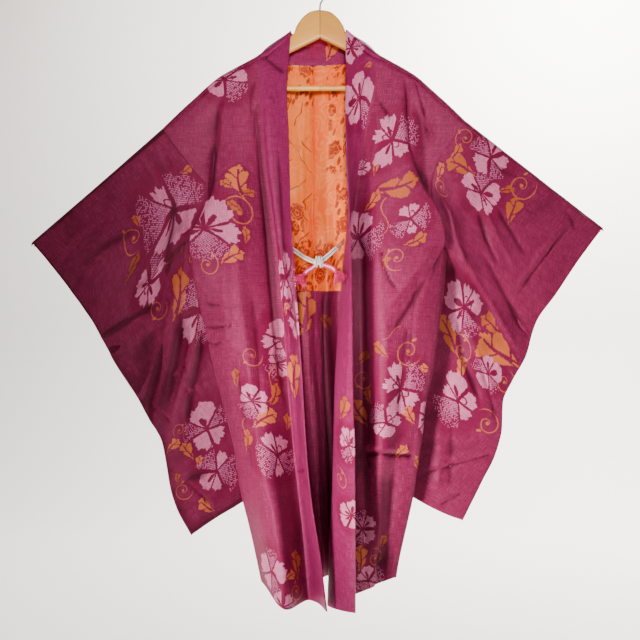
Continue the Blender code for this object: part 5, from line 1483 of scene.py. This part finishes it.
def tassel(side, thread):
    """A tuft of loose threads out of a bound head."""
    tail_path = np.array(TAILS[side], dtype=float)
    ahead = unit(tail_path[-1] - tail_path[-2])
    aside = unit(np.cross(ahead, np.array([0.0, 0.0, 1.0])))
    other = np.cross(ahead, aside)
    head = tail_path[-1] + ahead * 2.0
    chance = np.random.default_rng(5 if side == "left" else 6)
    cloth = Cloth()
    bound = [world(head + ahead * t) for t in np.linspace(HEAD_FROM, HEAD_TO, 9)]
    braid(cloth, np.array(bound), HEAD_WIDTH, HEAD_THICK)
    golden = math.pi * (3 - math.sqrt(5))
    for k in range(TASSEL_STRANDS):
        spread = math.sqrt((k + 0.5) / TASSEL_STRANDS)
        turn = k * golden
        away = aside * math.cos(turn) + other * math.sin(turn)
        root = head + ahead * 1.0 + away * spread * TASSEL_SPREAD
        lean = unit(ahead + away * spread * chance.uniform(0.5, 1.15))
        curl = unit(chance.normal(size=3))
        length = TASSEL_LENGTH * chance.uniform(0.5, 1.05)
        steps = np.linspace(0, 1, STRAND_STEPS)
        path = [root + lean * length * t + np.array([TASSEL_SPREAD * spread * t * t, 0, 0])
                + curl * STRAND_CURL * t * math.sin(4.0 * t + turn) for t in steps]
        points = world(path)
        side_way, up = frames_along(points)
        width = STRAND_RADIUS * MM * (1 - STRAND_TAPER * steps)[:, None]
        ring = np.array([points + width * (side_way * math.cos(a) + up * math.sin(a))
                         for a in (0.0, 2 * math.pi / 3, 4 * math.pi / 3)])
        numbers = cloth.points(ring)
        flat = np.zeros(numbers.shape + (2,))
        cloth.cells(np.concatenate([numbers, numbers[:1]]), np.concatenate([flat, flat[:1]]))
        cloth.fan(tuple(numbers[::-1, 0]), (0.0, 0.0))
        cloth.fan(tuple(numbers[:, -1]), (0.0, 0.0))
    return place(cloth.piece("tassel_%s_threads" % side, thread), "tassel", "tassel_" + side)


# ------------------------------------------------------------------ garment
def moved(grid, shift):
    """A grid in mm, moved by a shift along the world's axes in mm."""
    return grid + np.stack([-shift[..., 2], shift[..., 0], shift[..., 1]], axis=-1)


def dressed(grid, normals, name, seed, edges, held=None):
    """A panel with its creases: the moved grid, and its place on the flat cloth."""
    kind = name.split("_")[0]
    flat = hanging_places(grid) if kind in ("front", "back") else flat_places(grid)
    facing = -np.sign(np.mean(normals[..., 1]))
    rise = relief(grid, flat, CREASES.get(name, ()), RIPPLE[kind], seed, edges, held)
    return moved(grid, normals * (facing * rise)[..., None]), flat


def outside(grid, normals, toward):
    """A panel's own surface on the side that faces along Y by the sign given."""
    return world(grid) + normals * (np.sign(np.mean(normals[..., 1])) * toward * CLOTH / 2 * MM)


def stitched(name, rows, thread):
    """Rows of small running stitches that lie along the cloth."""
    points = np.concatenate(rows)
    ends = np.cumsum([len(row) for row in rows]) - 1
    mesh = bpy.data.meshes.new(name)
    edges = [(k, k + 1) for k in range(len(points)) if k not in ends]
    mesh.from_pydata(points.tolist(), edges, [])
    obj = link(name, mesh)

    tree = bpy.data.node_groups.new(name, "GeometryNodeTree")
    _, spacing, _ = [
        tree.interface.new_socket(label, in_out=way, socket_type="NodeSocket" + kind)
        for label, way, kind in (("Rows", "INPUT", "Geometry"), ("Every", "INPUT", "Float"),
                                 ("Stitches", "OUTPUT", "Geometry"))]
    chain = [tree.nodes.new(kind) for kind in (
        "NodeGroupInput", "GeometryNodeMeshToCurve", "GeometryNodeCurveToPoints",
        "GeometryNodeInstanceOnPoints", "GeometryNodeRealizeInstances",
        "GeometryNodeSetMaterial", "NodeGroupOutput")]
    for source, target in zip(chain[:-1], chain[1:]):
        tree.links.new(source.outputs[0], target.inputs[0])
    entry, _, dots, laid, _, dyed, _ = chain
    dots.mode = "LENGTH"
    grain = tree.nodes.new("GeometryNodeMeshUVSphere")
    grain.inputs["Segments"].default_value = 6
    grain.inputs["Rings"].default_value = 4
    grain.inputs["Radius"].default_value = 1.0 * MM
    laid.inputs["Scale"].default_value = STITCH_SHAPE
    dyed.inputs["Material"].default_value = thread
    tree.links.new(entry.outputs["Every"], dots.inputs["Length"])
    tree.links.new(grain.outputs[0], laid.inputs["Instance"])
    tree.links.new(dots.outputs["Rotation"], laid.inputs["Rotation"])
    row_maker = obj.modifiers.new("stitches", "NODES")
    row_maker.node_group = tree
    row_maker[spacing.identifier] = STITCH_EVERY * MM
    made = bpy.data.meshes.new_from_object(
        obj.evaluated_get(bpy.context.evaluated_depsgraph_get()))
    obj.modifiers.clear()
    obj.data = made
    made.shade_smooth()
    return place(obj, "silk")


def garment(side, silk, collar_silk, lining_silk, thread):
    """Body, gusset, collar, lining and sleeve of one side."""
    seed = 10 if side == "right" else 20
    front, at_seam, at_outer = front_panel(side)
    back, at_centre, back_outer = back_panel(side)
    front_normals = panel_normals(front, (at_seam, at_outer), np.s_[:])
    back_normals = panel_normals(back, (at_centre, back_outer), np.s_[NECK_COLUMNS:])

    down_front = front_collar(side, front, at_seam)
    neck, neck_way = neck_collar(side, back, back_normals)
    down_front[:, 0] = (down_front[:, 0] + neck[:, 0]) / 2
    band = np.concatenate([neck[:, :0:-1], down_front], axis=1)
    band_way = np.concatenate([neck_way[:0:-1], at_seam])
    wedge, wedge_ways = gusset(side, front, at_outer, back, back_outer)
    seams = (seam_rows(front, at_outer, side), seam_rows(back, back_outer, side))

    # the body: one length of cloth from the front's hem over the shoulder to the back's
    body = Cloth()
    creased, flat = dressed(front, front_normals, "front_" + side, seed, (6, 8, 12, 0))
    motifs = motifs_on(creased, flat, PATTERN["front_" + side], seed)
    front_normals = panel_normals(creased, (at_seam, at_outer), np.s_[:])
    body.sheet(creased, front_normals, CLOTH, flat)
    apart = np.array([1.0, 0.0])
    creased_back, back_flat = dressed(back, back_normals, "back_" + side, seed + 1,
                                      (5, 8, 12, 0), (0, 8, 6, 0))
    new_normals = panel_normals(creased_back, (at_centre, back_outer), np.s_[NECK_COLUMNS:])
    motifs += [(kind, middle + apart, axes, luck) for kind, middle, axes, luck in
               motifs_on(creased_back, back_flat, PATTERN["back_" + side], seed + 1)]
    body.sheet(creased_back, new_normals, CLOTH, back_flat + apart)
    whole = place(body.piece("body_%s_cloth" % side, silk, motifs), "silk",
                  "front_" + side, "back_" + side)
    face = outside(creased, front_normals, -1)
    back_face = outside(creased_back, new_normals, 1)
    stitched("body_%s_stitches" % side,
             [face[2:-2, -3], back_face[2:-2, -3], face[-2, UPPER_ROWS:-3]], thread)

    def panel(kind, form, slot, finish, sheet, motifs=()):
        cloth = Cloth()
        cloth.sheet(*sheet)
        made = cloth.piece("%s_%s_%s" % (kind, side, form), finish, motifs)
        return place(made, slot, "%s_%s" % (kind, side))

    creased, flat = dressed(wedge, panel_normals(wedge, wedge_ways), "gusset_" + side,
                            seed + 2, (4, 4, 4, 0))
    wedge_piece = panel("gusset", "cloth", "silk", silk,
                        (creased, panel_normals(creased, wedge_ways), CLOTH, flat),
                        motifs_on(creased, flat, PATTERN["gusset_" + side], seed + 2))
    "body_%s_cloth" % side

    normals = panel_normals(band, (None, band_way))
    creased, flat = dressed(band, normals, "collar_" + side, seed + 3, (3, 4, 2, 0))
    normals = panel_normals(creased, (None, band_way))
    normals[:, 0, 0] = 0.0
    collar = panel("collar", "band", "collar_silk", collar_silk,
                   (creased, unit(normals), COLLAR_CLOTH, flat),
                   motifs_on(creased, flat, PATTERN["collar_" + side], seed + 3))
    "body_%s_cloth" % side

    last = np.flatnonzero(back[0, :, 0] < LINING_BOTTOM)[-1]
    picked = np.s_[:LINING_COLUMNS, 1:last + 1]
    lined, flat = dressed(creased_back[picked], new_normals[picked], "lining_" + side,
                          seed + 4, (5, 5, 5, 6))
    facing = -1 if np.mean(new_normals[..., 1]) > 0 else 1
    lining = panel("lining", "silk", "lining_silk", lining_silk,
                   (lined, new_normals[picked], LINING_CLOTH, flat * np.array([SIDES[side], 1.0]),
                    facing * ((CLOTH + LINING_CLOTH) / 2 + LINING_GAP)))
    "body_%s_cloth" % side
    sleeve(side, seams, silk, seed + 5, thread)


def sleeve(side, seams, silk, seed, thread):
    """The sleeve: one length of cloth over the arm, sewn at the foot and up to the wrist."""
    halves, flats, motifs = [], [], []
    for facing, half in zip((-1, 1), sleeve_walls(side, seams)):
        flat = flat_places(half)
        rise = relief(half, flat, CREASES["sleeve_" + side], RIPPLE["sleeve"],
                      seed + (facing > 0), (7, 0, 12, 4))
        if facing > 0:
            rise *= HIDDEN_RELIEF
        normals = panel_normals(half)
        half = moved(half, normals * (np.sign(np.mean(normals[..., 1])) * facing
                                      * rise)[..., None])
        flat[..., 1] *= -facing
        halves.append(half)
        flats.append(flat)
        motifs += motifs_on(half, flat, PATTERN["sleeve_" + side], seed)
    front, back = halves
    foot = (front[:, -1] + back[:, -1]) / 2
    foot[:, 0] += SEWN_GAP / 2
    points = world(np.concatenate([front, foot[:, None], back[:, :0:-1]], axis=1))
    count, last = points.shape[1], points.shape[0] - 1
    foot_at = front.shape[1]
    along = np.gradient(points, axis=0)
    for (_, way), places in zip(seams, (range(count), range(0, -count, -1))):
        for k, direction in zip(places, way):
            along[0, k] = world(direction) * np.linalg.norm(along[0, k]) / MM
    along[0, 0] = world((seams[0][1][0] + seams[1][1][0]) / 2) * np.linalg.norm(along[0, 1]) / MM
    around = (np.roll(points, -1, axis=1) - np.roll(points, 1, axis=1)) / 2
    normals = unit(np.cross(along, around))
    if np.mean(normals[:, 4:foot_at, 1]) > 0:
        normals = -normals
    inner_points = points - normals * CLOTH / 2 * MM
    run = np.cumsum(np.linalg.norm(np.diff(front[-1, LAST_ROLL:], axis=0), axis=1))
    slot = LAST_ROLL + 1 + int(np.argmin(abs(run - WRIST_LENGTH)))
    inward = unit(points[last - 1] - points[last]) * SEWN_INSET * MM
    inner_points[last, slot:count - slot + 1] += inward[slot:count - slot + 1]
    inner_points[:, foot_at, 2] += (FOOT_SLACK[0] + FOOT_SLACK[1]
                                    * np.linspace(0, 1, last + 1) ** 6) * MM

    cloth = Cloth()
    lifted = points + normals * CLOTH / 2 * MM
    outer, inner = cloth.points(lifted), cloth.points(inner_points)
    half_thick = np.array([0.0, SEWN_GAP * MM])
    front_flat = np.concatenate([flats[0], flats[0][:, -1:] + half_thick], axis=1)
    back_flat = np.concatenate([flats[1][:, -1:] - half_thick, flats[1][:, ::-1]], axis=1)
    to_foot, past_foot = np.arange(foot_at + 1), np.arange(foot_at, count + 1) % count
    for places, flat in ((to_foot, front_flat), (past_foot, back_flat)):
        cloth.cells(outer[:, places], flat)
        cloth.cells(inner[:, places], flat, turned=True)
        cloth.cells(np.stack([outer[0, places], inner[0, places]]),
                    np.stack([flat[0]] * 2), turned=True)
    for places, first, flat in ((np.arange(0, slot + 1), 0, front_flat),
                                (np.arange(count - slot, count + 1), foot_at, back_flat)):
        cloth.cells(np.stack([outer[last, places % count], inner[last, places % count]]),
                    np.stack([flat[last, places - first]] * 2))
    sewn = np.arange(slot, foot_at)
    mirrored = (count - sewn) % count
    for ring, turned in ((outer[last], True), (inner[last], False)):
        cloth.cells(np.stack([ring[sewn], ring[mirrored]]),
                    np.stack([front_flat[last, sewn]] * 2), turned=turned)
        a, b, d = ring[foot_at - 1], ring[foot_at], ring[count - foot_at + 1]
        cloth.fan((a, b, d) if turned else (d, b, a), front_flat[last, foot_at])
    cloth.cells(np.array([[outer[last, slot], outer[last, count - slot]],
                          [inner[last, slot], inner[last, count - slot]]]),
                np.array([[front_flat[last, slot]] * 2] * 2))
    piece = place(cloth.piece("sleeve_%s_cloth" % side, silk, motifs), "silk", "sleeve_" + side)
    "body_%s_cloth" % side
    cuff = lifted[last - 2] * 0.5 + lifted[last - 3] * 0.5
    stitched("sleeve_%s_stitches" % side,
             [cuff[4:foot_at - 3], cuff[foot_at + 4:count - 3],
              lifted[4:-3, foot_at - 2] * 0.4 + lifted[4:-3, foot_at - 3] * 0.6], thread)


# ------------------------------------------------------------------ hanger
def hanger(wood, steel):
    """The glued arms with rounded edges, the bar between them and the wire hook."""
    def cloth_over(away):
        return max(smooth(SHOULDER[side], away)[0][0] for side in SIDES) + WOOD_CLEAR

    crown = [tuple(p) for p in by_length(WOOD_CROWN, 22)]
    under_cloth = [(away, cloth_over(away)) for away in np.linspace(60, WOOD_LAST_UNDER_CLOTH, 18)]
    half = crown + under_cloth + list(WOOD_END[::-1] + WOOD_UNDER[:0:-1])
    outline = half + [(0.0, WOOD_UNDER[0][1])] + [(-x, drop) for x, drop in half[:0:-1]]
    bm = bmesh.new()
    face = bm.faces.new([bm.verts.new((x * MM, -WOOD_THICK / 2 * MM, -drop * MM))
                         for x, drop in outline])
    made = bmesh.ops.extrude_face_region(bm, geom=[face])
    far_side = [v for v in made["geom"] if isinstance(v, bmesh.types.BMVert)]
    bmesh.ops.translate(bm, verts=far_side, vec=(0.0, WOOD_THICK * MM, 0.0))
    rims = [e for e in bm.edges if abs(e.verts[0].co.y - e.verts[1].co.y) < 1e-7]
    bmesh.ops.bevel(bm, geom=rims, offset=WOOD_ROUNDING * MM, segments=5, profile=0.5,
                    affect="EDGES", clamp_overlap=True)
    bmesh.ops.recalc_face_normals(bm, faces=bm.faces)
    place(wooden(bm, "hanger_arms", wood), "wood", "hanger_wood")

    bm = bmesh.new()
    bmesh.ops.create_cone(bm, cap_ends=True, segments=40, radius1=BAR_WIDTH / 2 * MM,
                          radius2=BAR_WIDTH / 2 * MM, depth=2 * BAR_END * MM)
    for vert in bm.verts:
        x, y, z = vert.co
        vert.co = (z, y, x - BAR_DROP * MM)
    bmesh.ops.recalc_face_normals(bm, faces=bm.faces)
    place(wooden(bm, "hanger_rod", wood), "wood", "hanger_bar")

    radius = HOOK_INNER + HOOK_WIRE / 2
    route = [(HOOK_STEM_FOOT - 2, 0.0), (62.0, 0.0), (50.0, 0.2), (41.5, 3.5), (35.5, 10.0),
             (29.6, 15.8)]
    route += [(HOOK_INNER - radius * math.sin(a), radius * math.cos(a))
              for a in np.radians(range(-20, 201, 20))]
    path = world([(drop, x, 0.0) for drop, x in by_length(route, 90)])
    cloth = Cloth()
    aside, up = frames_along(path)
    rounding = np.ones(len(path))
    rounding[-1], rounding[-2] = 0.45, 0.85
    rings = cloth.points(np.array([path + rounding[:, None] * HOOK_WIRE / 2 * MM
                                   * (aside * math.cos(a) + up * math.sin(a))
                                   for a in np.linspace(0, 2 * math.pi, 17)[:-1]]))
    rings = np.concatenate([rings, rings[:1]])
    cloth.cells(rings, np.zeros(rings.shape + (2,)))
    cloth.caps(rings, path, np.zeros(len(path)))
    place(cloth.piece("hanger_wire_hook", steel), "steel", "hanger_hook")


def wooden(bm, name, finish):
    """An object from a bmesh, smooth but for its sharp edges."""
    mesh = bpy.data.meshes.new(name)
    bm.to_mesh(mesh)
    bm.free()
    mesh.shade_smooth()
    mesh.set_sharp_from_angle(angle=math.radians(WOOD_EDGE))
    mesh.materials.append(finish)
    return link(name, mesh)


# ------------------------------------------------------------------ the whole scene
room()

WHITE_BRAID = braid_finish("cream braid with a mauve line", colour(250, 240, 228),
                           colour(112, 30, 88), 0.0010, 0.6)
MAGENTA_BRAID = braid_finish("magenta braid with a white line", colour(222, 0, 104),
                             colour(255, 226, 238), 0.0008)
PINK_THREAD = thread_finish("pink tassel thread", colour(150, 0, 52), colour(226, 24, 104))
ties = [tie(side, WHITE_BRAID) for side in SIDES]
knot_piece = knot(WHITE_BRAID)
tails = [tail(side, MAGENTA_BRAID) for side in SIDES]
tassels = [tassel(side, PINK_THREAD) for side in SIDES]
for side in SIDES:
    collar_loop(side, WHITE_BRAID)
for (piece, path), side, with_pieces in zip(ties, SIDES, ([knot_piece] + tails + tassels, [])):
    place(piece, "braid", "tie_" + side)

SILK = silk_finish("magenta patterned silk", colour(145, 38, 80), colour(102, 17, 52),
                   colour(177, 58, 105))
COLLAR_SILK = silk_finish("collar silk", colour(147, 33, 86), colour(108, 16, 58),
                          colour(178, 54, 114))
LINING_SILK = lining_finish()
SEWING = thread_finish("wine sewing thread", colour(88, 8, 44), colour(150, 30, 84))
for side in SIDES:
    garment(side, SILK, COLLAR_SILK, LINING_SILK, SEWING)
hanger(wood_finish(), steel_finish())
